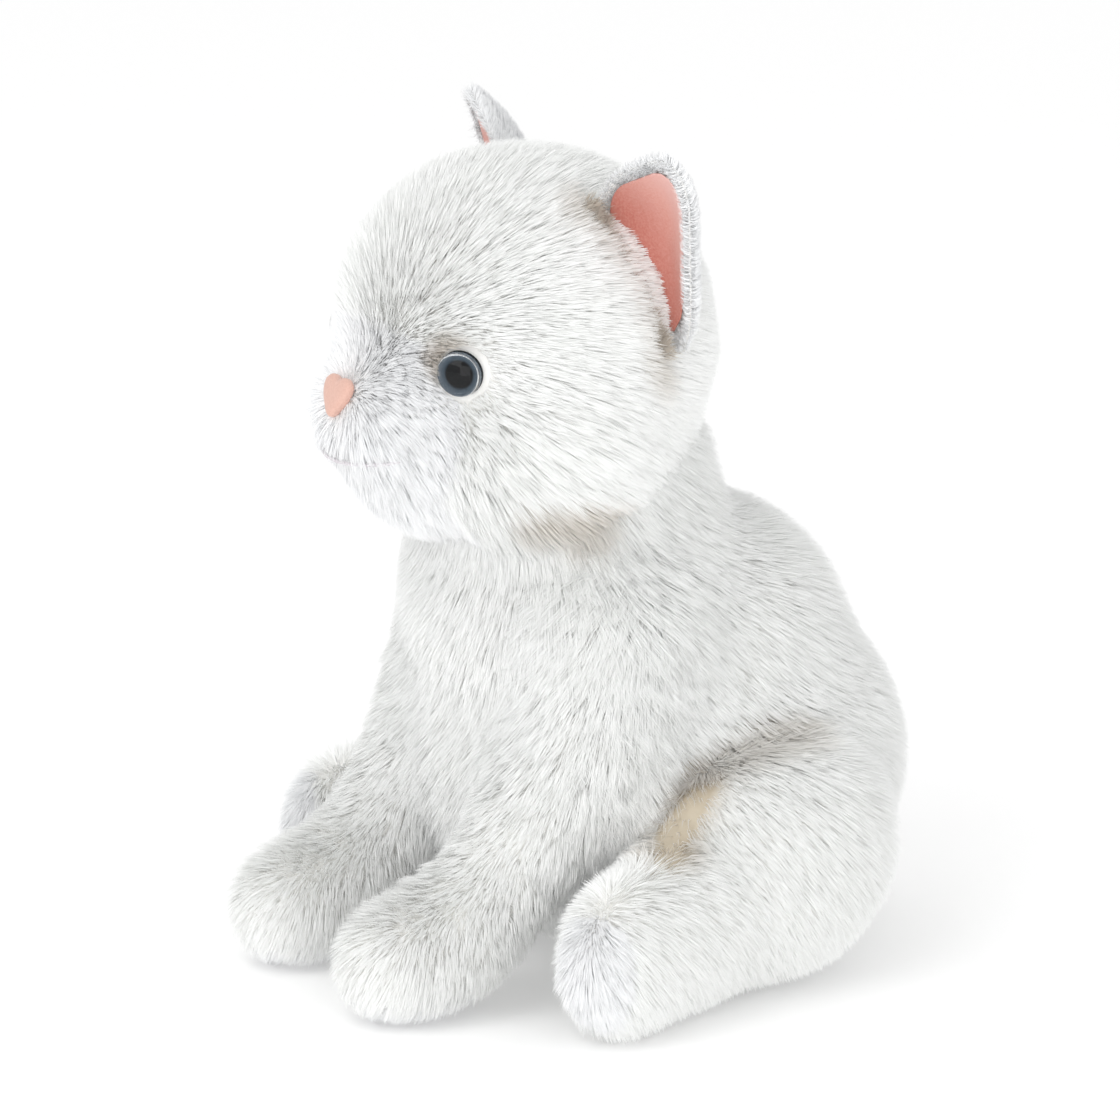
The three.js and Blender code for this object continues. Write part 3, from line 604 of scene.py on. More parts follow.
def grow(
    name,
    obj_or_roots,
    field,
    material,
    rng,
    density=3.5,
    tip=0.6,
    lean=(0, 0.3, -0.7),
    comb=0.95,
    tuft=5.0,
    pull=0.22,
    wild=0.14,
    width=0.36,
    deepest=-25.0,
    longest=13.0,
    ruffle=None,
    outline=None,
):
    """Strands from a bag to the outline of the coat. Direction: the outward direction of the own form and
    of the whole coat, plus comb times the lean laid along the surface, plus wild times the tuft's own
    chance direction. Length: what is left to the coat's outline grown by tip, divided by how squarely
    the strand heads for it. Then each tip is drawn towards its tuft's middle by pull. In the valleys
    between two forms the roots are lifted to 7.5 mm under the outline, as brushed-up pile fills them."""
    outline = outline or coat
    roots = obj_or_roots if isinstance(obj_or_roots, np.ndarray) else roots_on(obj_or_roots, density, rng)
    roots = roots[rng.random(len(roots)) > np.maximum(parted(roots), SEAT_BARE * (roots[:, 2] < SEAT_HIGH))]
    depth = outline(roots)
    roots, depth = roots[depth > deepest], depth[depth > deepest]
    own, whole = outward(field, roots), outward(outline, roots)
    lift = np.clip(VALLEY_DEPTH - depth, 0, None) * (1 - parted(roots))
    roots = roots + whole * lift[:, None]
    depth = outline(roots)
    out = unit(own * 0.6 + whole)
    centre, luck = tufts(roots, tuft, SEED)
    _, own_luck = tufts(roots, tuft * 0.45, SEED + 3)
    heavy = np.ones((len(roots), 1)) if ruffle is None else ruffle(roots)[:, None]
    laid = np.asarray(lean(roots) if callable(lean) else lean, float) * np.ones_like(roots)
    laid = unit(laid - dot(laid, out) * out)
    scatter = rng.normal(size=roots.shape) * 0.08
    stray = wild * heavy * (luck - 0.5) * 2 + wild * 0.5 * (own_luck - 0.5) * 2
    way = unit(out + comb * laid + stray + scatter)
    square = np.clip(dot(way, whole), 0.5, 1)
    level = tip + heavy * (luck[:, 1:2] - 0.5) * 1.4 + (own_luck[:, 2:] - 0.5) * 0.6
    level = level + rng.normal(size=square.shape) * 0.4
    level = level + (fuller(roots) - trimmed(roots))[:, None]
    length = np.clip((level - depth[:, None]) / square, 2.0, longest)
    ends = roots + way * length
    gather = centre + dot(roots - centre, out) * out
    gather = gather + dot(ends - roots, out) * out + (way - dot(way, out) * out) * length
    drawn = np.clip(pull * (0.4 + 0.6 * heavy), 0, 0.85)
    shift = (gather - ends) * drawn
    shift *= np.minimum(1, 3.2 / np.maximum(np.linalg.norm(shift, axis=1, keepdims=True), 1e-6))
    ends = ends + shift
    bend = roots + way * length * 0.5 + shift * 0.28 - laid * comb * length * 0.12
    spots = np.stack([roots - out * 0.5, bend, ends], 1)
    spots[..., 2] = np.maximum(spots[..., 2], 0.5 + rng.random(len(spots))[:, None] * 0.8)
    ahead = unit(ends - roots)
    flat = unit(np.cross(ahead, out) + rng.normal(size=roots.shape) * 0.25)
    flat = unit(flat - dot(flat, ahead) * ahead)
    half = width / 2 * (0.75 + 0.5 * rng.random((len(roots), 1)))
    across = np.stack([flat * half, flat * half * 0.9], 1)
    # The third number is the root's painted shade share, partly tan cloth at the crease and neck spot.
    number = np.hstack([luck[:, :1] * 0.6 + rng.random((len(roots), 1)) * 0.4, shade_and_cloth_share(roots)[:, None]])
    made = ribbon_mesh(name, spots, across, number, material)
    print(name, len(roots), "strands", len(made.data.polygons), "faces")
    return made


# %% [markdown]
# ### Where the coat is ruffled
# The crown, back and thighs are brushed smooth. The cheeks, throat, chest and the shoulder above the
# front leg have looser, tufted pile, so a smooth mask says how heavy the tufts are.

# %% How ruffled the coat is, from 0.35 to 1
def near(p, centre, radii):
    """1 at the centre of an egg-shaped patch, falling smoothly to 0 at its edge."""
    far = np.clip(1 - (((p - np.array(centre)) / np.array(radii)) ** 2).sum(-1), 0, 1)
    return far * far * (3 - 2 * far)


def ruffled(p):
    """Patches on both sides, on the absolute value of x."""
    q = one_side(p)
    patches = [
        near(q, (44, -74, 168), (38, 46, 44)),
        near(q, (52, -48, 112), (46, 60, 60)),
        near(q, (40, -90, 60), (36, 60, 60)),
    ]
    return 0.35 + 0.65 * np.clip(sum(patches), 0, 1)


# %% [markdown]
# ### Partings and trims
# Two places on the coat show the backing cloth: the crease between flank and thigh, where a few fibres
# bridge the gap, and a small spot at the neck seam. Roots there are mostly left out. In front of each ear
# and round each eye the pile is clipped short, as a maker does so that the lining and the eye can be
# seen.

# %% Distance to a line, and the two masks: partings, and the pile's painted shade with cloth tint
def off_line(p, line):
    """The distance from each point to a polyline: the least over its spans of the distance to the span's
    nearest point."""
    best = np.full(len(p), 1e9)
    for a, b in zip(line[:-1], line[1:]):
        run = b - a
        t = np.clip((p - a) @ run / (run @ run), 0, 1)
        best = np.minimum(best, np.linalg.norm(p - a - t[:, None] * run, axis=1))
    return best


FLANK_CREASE = np.array(
    [(74, -50, 57), (68, -44, 62), (63, -35, 71), (61, -28, 75), (62, -16, 78), (59, 2, 79.0)]
)
FLANK_HOLE = FLANK_CREASE[:3]
NOSE_SPOT = np.array([0, -122, 189.5])
NECK_SEAM = np.array([(46, -80, 152), (48, -72, 153), (46, -62, 153.0)])
EAR_CHORD = np.array([(31.7, -48.4, 246.9), (51.1, -33.2, 202.9)])
EYE_LINE = np.array([32.5, -39.5, -4.0])
CRANIUM = np.array([0, -54.5, 204.0])
eye_way = unit(EYE_LINE[None])[0]
eye_spot = carried_out(head_field, CRANIUM, eye_way[None], 0)[0]
print("eye on the fur at", eye_spot.round(1))


def parted(p):
    """The share of roots left out: 0.9 in the hole at the lower end of the flank crease, 0.6 on the rest
    of it, none 14 mm off it, and 0.75 on the neck spot."""
    q = one_side(p)
    hole = np.clip(1.75 - off_line(q, FLANK_HOLE) / 8, 0, 0.9)
    crease = np.maximum(hole, np.clip(1.1 - off_line(q, FLANK_CREASE) / 7, 0, 0.6))
    neck = np.clip(1.7 - off_line(q, NECK_SEAM) / 8, 0, 0.75)
    return np.maximum(crease, neck)


def shade_and_cloth_share(p):
    """How far the pile is darkened towards beige, 0 to 1. At the flank crease and the neck spot it is partly
    the tan cloth shining through and partly painted shade. At the inner corner of each eye and in the
    hollow in front of each ear it is painted shade."""
    q = one_side(p)
    # At the crease and the neck spot: partly tan cloth showing through, partly painted shade.
    crease = 0.35 * np.clip(1.3 - off_line(q, FLANK_CREASE) / 8, 0, 1)
    crease = crease + 0.6 * np.clip(1.6 - off_line(q, FLANK_HOLE) / 8, 0, 1)
    neck = 0.6 * np.clip(1.9 - off_line(q, NECK_SEAM) / 7, 0, 1)
    # Painted shade at the inner corner of the eye and, on the next line, in the hollow in front of the ear.
    corner = 0.85 * near(q, eye_spot + (-8, 0, 4), (10, 14, 9))
    hollow = 0.42 * np.clip(1.3 - off_line(q, EAR_CHORD + (-2, -9, -5)) / 8, 0, 1)
    return np.maximum.reduce([crease, neck, corner, hollow])


def fuller(p):
    """How much longer the pile is, in millimetres: up to 0.8 over the brow, 5 at the nape, 3.5 down the
    back, and 1.5 on the two whisker pads beside the nose."""
    pads = 1.5 * near(one_side(p), (12, -115, 182), (11, 13, 14))
    back = 3.5 * near(p, (0, 44, 100), (90, 62, 76))
    brow = 0.8 * near(p, (0, -98, 226), (58, 46, 46))
    nape = 5.0 * near(p, (0, 4, 176), (70, 44, 40))
    return brow + nape + pads + back


def trimmed(p):
    """How much shorter the pile is, in millimetres: up to 3.5 along the ear's base, 3 round the eye, 4 at
    the nose."""
    q = one_side(p)
    nose_pile = 4.0 * np.clip(1.6 - np.linalg.norm((p - NOSE_SPOT) / (1, 1, 1.2), axis=1) / 7, 0, 1)
    ear = 3.5 * np.clip(1.5 - off_line(q, EAR_CHORD) / 9, 0, 1)
    eye = 3.0 * np.clip(1.6 - np.linalg.norm(q - (eye_spot + eye_way * -4), axis=1) / 10, 0, 1)
    return ear + eye + nose_pile


# %% The torso's coat in four pieces
def quarter(low, high):
    """A test for roots whose direction round the vertical axis lies between two angles, 0 at the front."""

    def test(p):
        turn = np.degrees(np.arctan2(p[:, 0], -(p[:, 1] + 20)))
        return (turn >= low) & (turn < high)

    return test


def body_lay(p):
    """The body is brushed down and a little back."""
    return np.stack([p[:, 0] * 0, p[:, 0] * 0 + 0.35, p[:, 0] * 0 - 0.8], -1)


rng = np.random.default_rng(SEED)
torso_roots = roots_on(torso_bag, 3.15, rng)
torso_coat = {}
QUARTERS = (("front", -55, 55), ("left", 55, 140), ("right", -140, -55), ("back", 140, 181))
for part_name, low, high in QUARTERS:
    test = quarter(low, high)
    chosen = torso_roots[test(torso_roots) | ((part_name == "back") & quarter(-181, -140)(torso_roots))]
    torso_coat[part_name] = grow(
        f"torso_fur_{part_name}", chosen, torso_field, long_pile, rng, lean=body_lay, ruffle=ruffled
    )

# %% Mark where each bag is bare
for bag in bags:
    points = np.empty(len(bag.data.vertices) * 3)
    bag.data.vertices.foreach_get("co", points)
    mark = bag.data.attributes.new("bare", "FLOAT", "POINT")
    mark.data.foreach_set("value", parted(points.reshape(-1, 3) / MM).astype(np.float32))

# %% The head's coat
def muzzle_share(p):
    """1 on the short-pile panel: the front of the snout below the brow, and the throat strip under the
    chin."""
    front = (p[:, 1] < -98) & (p[:, 2] < 207)
    throat = (np.abs(p[:, 0]) < 21) & (p[:, 1] < -60) & (p[:, 2] < 164)
    return front | throat


def eye_room(p):
    """True where a root would stand in the way of an eye: within 8 mm of either eye's axis at the front of
    the head."""
    arm = one_side(p) - eye_spot
    along_axis = dot(arm, eye_way[None])
    return (np.linalg.norm(arm - along_axis * eye_way, axis=1) < 8.2) & (along_axis[:, 0] > -14)


def head_lay(p):
    """Brushed away from the nose on all sides, and a little down."""
    return unit(p - NOSE_SPOT) + (0, 0, -0.35)


head_roots = roots_on(head_bag, 4.0, rng)
head_roots = head_roots[~eye_room(head_roots)]
panel = muzzle_share(head_roots)
side_x = head_roots[:, 0]
crown = (np.abs(side_x) < 20) & (head_roots[:, 2] > 190)
head_coat = {}
head_parts = {"crown": crown, "left": ~crown & (side_x >= 0), "right": ~crown & (side_x < 0)}
for part_name, test in head_parts.items():
    head_coat[part_name] = grow(
        f"head_fur_{part_name}",
        head_roots[test & ~panel],
        head_field,
        long_pile,
        rng,
        lean=head_lay,
        ruffle=ruffled,
        comb=1.05,
        pull=0.25,
        wild=0.13,
    )
muzzle_roots = roots_on(head_bag, 7.0, rng)
muzzle_roots = muzzle_roots[~eye_room(muzzle_roots) & muzzle_share(muzzle_roots)]
muzzle_coat = grow(
    "muzzle_fur",
    muzzle_roots,
    head_field,
    short_pile,
    rng,
    lean=head_lay,
    tip=-0.8,
    tuft=2.6,
    pull=0.15,
    wild=0.12,
    comb=1.2,
    width=0.32,
)

# %% The legs' and the tail's coats
leg_coat, thigh_coat = {}, {}


def leg_lay(p):
    """Down the leg and forward over the paw."""
    return np.stack([p[:, 0] * 0, p[:, 0] * 0 - 0.4, p[:, 0] * 0 - 0.8], -1)


SPLAY = np.radians(27)
TOE_WAY = np.array([np.sin(SPLAY), -np.cos(SPLAY), 0])
toe_front = carried_out(hind_field["left"], HIND[2, :3], TOE_WAY[None], 0)[0]


def front_sole(p):
    """True under the front paw."""
    return (p[:, 2] < 11) & (p[:, 1] < -90)


def hind_sole(p):
    """True on the foot's flat front, 11 mm deep along the way that the toes point."""
    return (one_side(p) - toe_front) @ TOE_WAY > -14


sole_coat = {}
short = dict(tip=-0.9, tuft=2.6, pull=0.2, wild=0.12, comb=1.1, width=0.32)
for side_name in ("left", "right"):
    for limb_name, bag, field, is_sole, lay, store in (
        ("front", leg_bags[side_name], front_field[side_name], front_sole, leg_lay, leg_coat),
        ("hind", thigh_bags[side_name], hind_field[side_name], hind_sole, body_lay, thigh_coat),
    ):
        roots = roots_on(bag, 3.0, rng)
        upper = roots[~is_sole(roots)]
        store[side_name] = grow(
            f"{limb_name}_leg_fur_{side_name}", upper, field, long_pile, rng, lean=lay, ruffle=ruffled
        )
        roots = roots_on(bag, 7.0, rng)
        under = roots[is_sole(roots)]
        sole_coat[f"{limb_name}_leg_{side_name}"] = grow(
            f"{limb_name}_sole_fur_{side_name}", under, field, short_pile, rng, lean=lay, **short
        )
tail_lay = (-0.6, -0.6, -0.2)
tail_coat = grow("tail_fur", tail_bag, tail_field, long_pile, rng, density=3.0, lean=tail_lay, longest=9.0)

# %% [markdown]
# ## Ears
# Each ear is a cupped leaf with a short-pile back that wraps round the rim and a flat velour lining sewn
# in front. In its own frame, across the base, up to the tip and out of the face, a leaf is a flattened
# ball spread over a rounded triangle and sunk in the middle. The same formula is a field, so the same
# planting works on it.

# %% The ear's frame
def ear_frame():
    """Corners on the head's surface along three directions, with the tip 32 mm further out; then the
    middle, the three axes, and for each edge its outward normal and distance. The base edge is 10 mm
    lower, the others swell 6."""
    corner_ways = unit(np.array([(31, 6, 42), (48, 20, -1), (62.7, 13, 56.3)]))
    inner, outer, tip = carried_out(head_field, CRANIUM, corner_ways, 0)
    tip = tip + 32 * corner_ways[2]
    middle = (inner + outer + tip) / 3
    across = unit((outer - inner)[None])[0]
    facing = unit(np.cross(across, tip - inner)[None])[0]
    facing = -facing if facing[1] > 0 else facing
    axes = np.array([across, np.cross(facing, across), facing])
    flat = (np.array([inner, outer, tip]) - middle) @ axes[:2].T
    edge = np.roll(flat, -1, axis=0) - flat
    normal = unit(np.stack([edge[:, 1], -edge[:, 0]], -1))
    normal *= np.sign((normal * flat).sum(1, keepdims=True))
    return middle, axes, normal, (normal * flat).sum(1) + np.array([10, 6, 6.0])


EAR_MIDDLE, EAR_AXES, EAR_NORMAL, EAR_EDGE = ear_frame()
EAR_CUP = 12.0


def ear_share(flat, inset=0.0):
    """0 at the ear's middle and 1 on its rim: the square root of the sum, over the edges, of the share of
    the way to that edge squared."""
    way = np.maximum(flat @ EAR_NORMAL.T, 0) / (EAR_EDGE - inset)
    return np.sqrt((way**2).sum(-1))


def ear_points(out, lift, turn, inset, half, forward):
    """A leaf's points: out and lift are the disc radius and height of a unit ball, turn the angle round
    it."""
    way = np.stack([np.cos(turn), np.sin(turn)], -1)
    flat = way * (out / np.maximum(ear_share(way, inset), 1e-6))[..., None]
    cup = -EAR_CUP * (1 - ear_share(flat) ** 2)
    return EAR_MIDDLE + flat @ EAR_AXES[:2] + (cup + forward + lift * half)[..., None] * EAR_AXES[2]


def ear_leaf(name, side, inset, half, forward, columns, rows, material):
    """A closed leaf for one side."""
    polar = np.linspace(0, np.pi, rows + 2)
    turn = np.linspace(0, 2 * np.pi, columns, endpoint=False)
    q, t = np.meshgrid(polar[1:-1], turn, indexing="ij")
    rings = ear_points(np.sin(q), np.cos(q), t, inset, half, forward)
    poles = ear_points(np.zeros(2), np.array([1.0, -1.0]), np.zeros(2), inset, half, forward)
    sign = np.array([1 if side == "left" else -1, 1, 1])
    made = face_outwards(closed_grid(name, rings * sign, poles[0] * sign, poles[1] * sign, material))
    return made


def ear_field(p):
    """The leaf as a field, by the same formula as a lobe, for the left ear and, mirrored, for the right."""
    local = (one_side(p) - EAR_MIDDLE) @ EAR_AXES.T
    share = ear_share(local[..., :2])
    lift = (local[..., 2] + EAR_CUP * (1 - share**2)) / 3.4
    size = np.sqrt(lift**2 + share**2)
    slope = np.sqrt((lift / 3.4) ** 2 + (share / 26) ** 2) / np.maximum(size, 1e-6)
    return (size - 1) / np.maximum(slope, 1e-3)


# %% Velour for the lining, with painted shade darker down in the cup
def lining_material():
    """Pink velour: a ramp of painted shade on the lining's own depth, darker low in the cup, times the nap,
    with the sheen of short upright pile.
    """
    m, tree, shader = new_material("ear velour", 0.7, 0.5, 0.2)
    place = tree.nodes.new("ShaderNodeAttribute")
    place.attribute_name = "cup"
    cup_shade_pinks = [(0.0, (0.52, 0.16, 0.12)), (0.35, (0.66, 0.29, 0.24)), (0.8, (0.78, 0.46, 0.42))]
    cup_shade_tone = ramp(tree, place.outputs["Fac"], cup_shade_pinks)
    nap = noise(tree, 1400, 3.0, 0.7)
    lit = ramp(tree, nap, [(0.3, (0, 0, 0)), (0.7, (0.22, 0.22, 0.22))])
    fine = mixed(tree, lit, cup_shade_tone, (0.86, 0.60, 0.54))
    bump = tree.nodes.new("ShaderNodeBump")
    bump.inputs["Strength"].default_value = 0.35
    bump.inputs["Distance"].default_value = 0.0003
    tree.links.new(nap, bump.inputs["Height"])
    tree.links.new(bump.outputs["Normal"], shader.inputs["Normal"])
    tree.links.new(fine, shader.inputs["Base Color"])
    return m


ear_velour = lining_material()
ear_backs, ear_linings, ear_fur = {}, {}, {}
for side_name in ("left", "right"):
    sign = np.array([1 if side_name == "left" else -1, 1, 1])
    ear_backs[side_name] = ear_leaf(f"ear_form_{side_name}", side_name, 2.0, 1.6, 0, 40, 9, backing)
    lining = ear_leaf(f"ear_lining_cloth_{side_name}", side_name, 5.5, 1.3, 3.2, 48, 13, ear_velour)
    points = np.empty(len(lining.data.vertices) * 3)
    lining.data.vertices.foreach_get("co", points)
    local = (points.reshape(-1, 3) / MM * sign - EAR_MIDDLE) @ EAR_AXES.T
    # The cup number rises from 0 low in the cup to 1 towards the tip; the velour's ramp paints shade on it.
    depth = lining.data.attributes.new("cup", "FLOAT", "POINT")
    depth.data.foreach_set("value", ((local[:, 1] + 8) / np.ptp(local[:, 1])).clip(0, 1).astype(np.float32))
    ear_linings[side_name] = lining
    roots = roots_on(ear_backs[side_name], 10.0, rng)
    local = (roots * sign - EAR_MIDDLE) @ EAR_AXES.T
    share = ear_share(local[:, :2])
    in_front = (local[:, 2] + EAR_CUP * (1 - share**2) > 0.2) & (ear_share(local[:, :2], 5.5) < 1.0)
    roots = roots[~in_front & (head_field(roots) > -6)]
    ear_fur[side_name] = grow(
        f"ear_back_fur_{side_name}",
        roots,
        ear_field,
        short_pile,
        rng,
        outline=ear_field,
        lean=(0, 0.2, 0.7),
        tip=0.4,
        tuft=2.4,
        pull=0.15,
        wild=0.12,
        comb=0.8,
        width=0.3,
        longest=3.6,
    )

# %% The fringe: longer fibres combed from the head over the lining's lower edge
def fringe(side, count=2600):
    """Roots scattered along the ear's base chord, strands laid up the lining and a little out of it."""
    sign = np.array([1 if side == "left" else -1, 1, 1])
    t = rng.random((count, 1))
    base = EAR_CHORD[0] + t * (EAR_CHORD[1] - EAR_CHORD[0])
    base = base + EAR_AXES[2] * rng.normal(2.0, 1.6, (count, 1))
    base = base - EAR_AXES[1] * (2 + 3 * rng.random((count, 1)))
    way = unit(EAR_AXES[1] * 0.8 + EAR_AXES[2] * 0.15 + EAR_AXES[0] * 0.25 * rng.normal(size=(count, 1)))
    length = (6.0 + 4.0 * rng.random((count, 1))) * (0.7 + 0.3 * np.sin(t * 40) ** 2)
    ends = base + way * length
    bend = base + way * length * 0.5 + EAR_AXES[2] * 1.2
    flat = unit(np.cross(way, EAR_AXES[2]))
    across = np.stack([flat * 0.17, flat * 0.15], 1)
    # The ones give every fringe fibre the full painted shade of the pile's beige ramp.
    number = np.hstack([rng.random((count, 1)), np.ones((count, 1))])
    points = np.stack([base, bend, ends], 1) * sign
    return ribbon_mesh(f"ear_fringe_{side}", points, across * (1, sign[0], sign[0]), number, long_pile)


ear_fringe = {side_name: fringe(side_name) for side_name in ("left", "right")}

# %% [markdown]
# ## Eyes
# A safety eye is a clear dome over a painted plate, with a shank through the cloth and a lock washer
# behind. All are turned about the eye's own axis, so each is a profile of radius and height carried round
# it.

# %% Turned pieces
EYE_RADIUS = 7.0
EYE_SEAT = 5.2  # how deep the back of the plate lies under the tips of the pile


def turned(name, profile, side, material, columns=40):
    """Rings about the eye's axis from (radius, height) rows. The first and last rows are the poles."""
    across = unit(np.cross(eye_way, (0, 0, 1.0))[None])[0]
    other = np.cross(across, eye_way)
    seat = eye_spot - eye_way * EYE_SEAT
    turn = np.linspace(0, 2 * np.pi, columns, endpoint=False)
    circle = np.cos(turn)[:, None] * across + np.sin(turn)[:, None] * other
    profile = np.array(profile, float)
    rings = seat + profile[1:-1, :1, None] * circle + profile[1:-1, 1:, None] * eye_way
    poles = seat + profile[[0, -1], 1:] * eye_way
    sign = np.array([1 if side == "left" else -1, 1, 1])
    made = face_outwards(closed_grid(name, rings * sign, poles[0] * sign, poles[1] * sign, material))
    radius = np.concatenate([np.repeat(profile[1:-1, 0], columns), profile[[0, -1], 0]]) / EYE_RADIUS
    ring = made.data.attributes.new("ring", "FLOAT", "POINT")
    ring.data.foreach_set("value", radius.astype(np.float32))
    return made


# %% Eye materials
clear, clear_tree, clear_shader = new_material("clear eye dome", 0.03, 0.0, 0.5)
clear_shader.inputs["Transmission Weight"].default_value = 1.0
clear_shader.inputs["IOR"].default_value = 1.3
clear_tree.links.new(
    ramp(clear_tree, noise(clear_tree, 60, 1.0), [(0.2, (0.93, 0.96, 0.98)), (0.8, (0.97, 0.98, 0.99))]),
    clear_shader.inputs["Base Color"],
)
painted, painted_tree, painted_shader = new_material("painted iris", 0.6, 0.0, 0.1)
ring_number = painted_tree.nodes.new("ShaderNodeAttribute")
ring_number.attribute_name = "ring"
iris = ramp(
    painted_tree,
    ring_number.outputs["Fac"],
    [
        (0.0, (0.004, 0.004, 0.005)),
        (0.52, (0.004, 0.004, 0.005)),
        (0.60, (0.055, 0.075, 0.095)),
        (0.80, (0.13, 0.165, 0.20)),
        (0.93, (0.08, 0.10, 0.125)),
        (1.0, (0.015, 0.018, 0.022)),
    ],
)
grains = noise(painted_tree, 2600, 3.0)
speckle = ramp(painted_tree, grains, [(0.35, (0.72, 0.74, 0.78)), (0.7, (1.15, 1.15, 1.15))])
iris_colour = mixed(painted_tree, 1.0, iris, speckle, "MULTIPLY")
painted_tree.links.new(iris_colour, painted_shader.inputs["Base Color"])
nylon, nylon_tree, nylon_shader = new_material("nylon washer", 0.45, 0.0, 0.4)
nylon_tree.links.new(
    ramp(nylon_tree, noise(nylon_tree, 500, 2.0), [(0.3, (0.70, 0.69, 0.66)), (0.7, (0.80, 0.79, 0.76))]),
    nylon_shader.inputs["Base Color"],
)

# %% The eyes
arc = np.radians(np.linspace(90, 0, 14))
dome_curve = zip(EYE_RADIUS * np.cos(arc[1:]), 1.6 + 4.6 * np.sin(arc[1:]))
dome_profile = [(0, 6.2), *dome_curve, (6.9, 1.3), (3.5, 1.1), (0, 1.1)]
plate_rings = np.linspace(0.35, 6.95, 24)
plate_edge = [(7.02, 1.0), (7.02, 0.1), (6.9, 0), (1.9, 0)]
shank = [(1.8, -0.2), (1.8, -11.6), (1.5, -12), (0, -12)]
plate_profile = [(0, 1.2), *zip(plate_rings, np.full(24, 1.2)), *plate_edge, *shank]
eye_domes = {s: turned(f"eye_glass_{s}", dome_profile, s, clear) for s in ("left", "right")}
eye_plates = {s: turned(f"eye_plate_{s}", plate_profile, s, painted) for s in ("left", "right")}
for s in ("left", "right"):
    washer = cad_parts[f"eye_washer_{s}"]
    washer.data.materials.clear()
    washer.data.materials.append(nylon)

# %% [markdown]
# ## Nose and mouth
# The nose is a small pad of peach velour, a rounded triangle with its point down, slightly domed. The
# mouth is one line of twisted thread laid on the pile, half sunk in it.

# %% The nose pad
peach = woven(
    "nose velour", (0.76, 0.50, 0.42), (0.66, 0.40, 0.325), 0.75, threads=1500.0, relief=0.3, sheen=0.4
)
NOSE_WAY = unit(np.array([[0, -30, 10.0]]))[0]
SNOUT = np.array([0, -99, 180.5])
nose_seat = carried_out(head_field, SNOUT, NOSE_WAY[None], -3.6)[0]


def nose_outline(count):
    """Points round a soft triangle: six quadratic curves, each start * (1 - t)^2 + 2 * control * t * (1 -
    t) + end * t^2, mirrored about the middle."""
    w, h = 7.5, 13.0
    half = [
        ((0, 0.42 * h), (0.6 * w, 0.62 * h), (0.95 * w, 0.36 * h)),
        ((0.95 * w, 0.36 * h), (1.1 * w, 0.1 * h), (0.45 * w, -0.28 * h)),
        ((0.45 * w, -0.28 * h), (0.2 * w, -0.47 * h), (0, -0.47 * h)),
    ]
    t = np.linspace(0, 1, count, endpoint=False)[:, None]
    curves = [
        np.outer((1 - t) ** 2, a) + np.outer(2 * t * (1 - t), b) + np.outer(t**2, c) for a, b, c in half
    ]
    right_half = np.vstack(curves)
    tail = right_half[1:][::-1] * (-1, 1)
    return np.vstack([right_half, [(0, -0.47 * h)], tail])


def nose_pad():
    """Rings of the outline shrunk to its middle, raised as a low dome whose edge turns down, and a flat
    back."""
    outline = nose_outline(7)
    up = unit(np.cross(NOSE_WAY, (1.0, 0, 0))[None])[0]
    up = up if up[2] > 0 else -up
    share = np.array([0.15, 0.35, 0.55, 0.72, 0.86, 0.95, 1.0, 1.0, 0.9, 0.45])
    height = np.array([1.9, 1.88, 1.8, 1.65, 1.4, 1.0, 0.4, -0.8, -1.6, -1.8])
    flat = outline[None] * share[:, None, None]
    rings = nose_seat + flat[..., :1] * (1.0, 0, 0) + flat[..., 1:] * up + height[:, None, None] * NOSE_WAY
    top, bottom = nose_seat + NOSE_WAY * 1.9, nose_seat - NOSE_WAY * 1.8
    return face_outwards(closed_grid("nose_velour_pad", rings, top, bottom, peach))


nose = nose_pad()

# %% The mouth thread
mauve = woven(
    "mouth thread", (0.80, 0.77, 0.79), (0.62, 0.57, 0.61), 0.8, threads=2500.0, relief=0.5, sheen=0.2
)


def mouth_thread(count=60, columns=12):
    """A smile over the snout's surface, swept by a ring whose radius swells and shrinks three times round
    it and turns as it goes, as twisted thread does."""
    t = np.linspace(-1, 1, count)
    swing = np.radians(62) * t
    ways = unit(np.stack([27 * np.sin(swing), -27 * np.cos(swing), -(14.5 - 5 * t * t)], -1))
    line = carried_out(head_field, SNOUT, ways, -0.7)
    ahead = unit(np.gradient(line, axis=0))
    out = outward(head_field, line)
    side = unit(np.cross(ahead, out))
    turn = np.linspace(0, 2 * np.pi, columns, endpoint=False)
    strands = 1 + 0.16 * np.cos(3 * (turn[None] - 9 * t[:, None]))
    radius = 0.55 * strands * np.sqrt(np.clip(1.02 - t[:, None] ** 8, 0.05, 1))
    circle = np.cos(turn)[:, None] * out[:, None] + np.sin(turn)[:, None] * side[:, None]
    rings = line[:, None] + radius[..., None] * circle
    start, end = line[0] - ahead[0] * 0.3, line[-1] + ahead[-1] * 0.3
    return face_outwards(closed_grid("mouth_stitch", rings, start, end, mauve))


mouth = mouth_thread()

# %% The neck's plug of stuffing, hidden between the two big forms
NECK_MIDDLE = (0, -50, 152)
neck_field = lobed([(*NECK_MIDDLE, 21, 21, 21, 0)], 1.0)
neck_plug = ball_form("neck_form", neck_field, NECK_MIDDLE, 0, 24, 14, backing)
face_outwards(neck_plug)

# %% [markdown]
# ## Riding the bodies
# Each bag and its coat ride on the CAD body that they stand for.

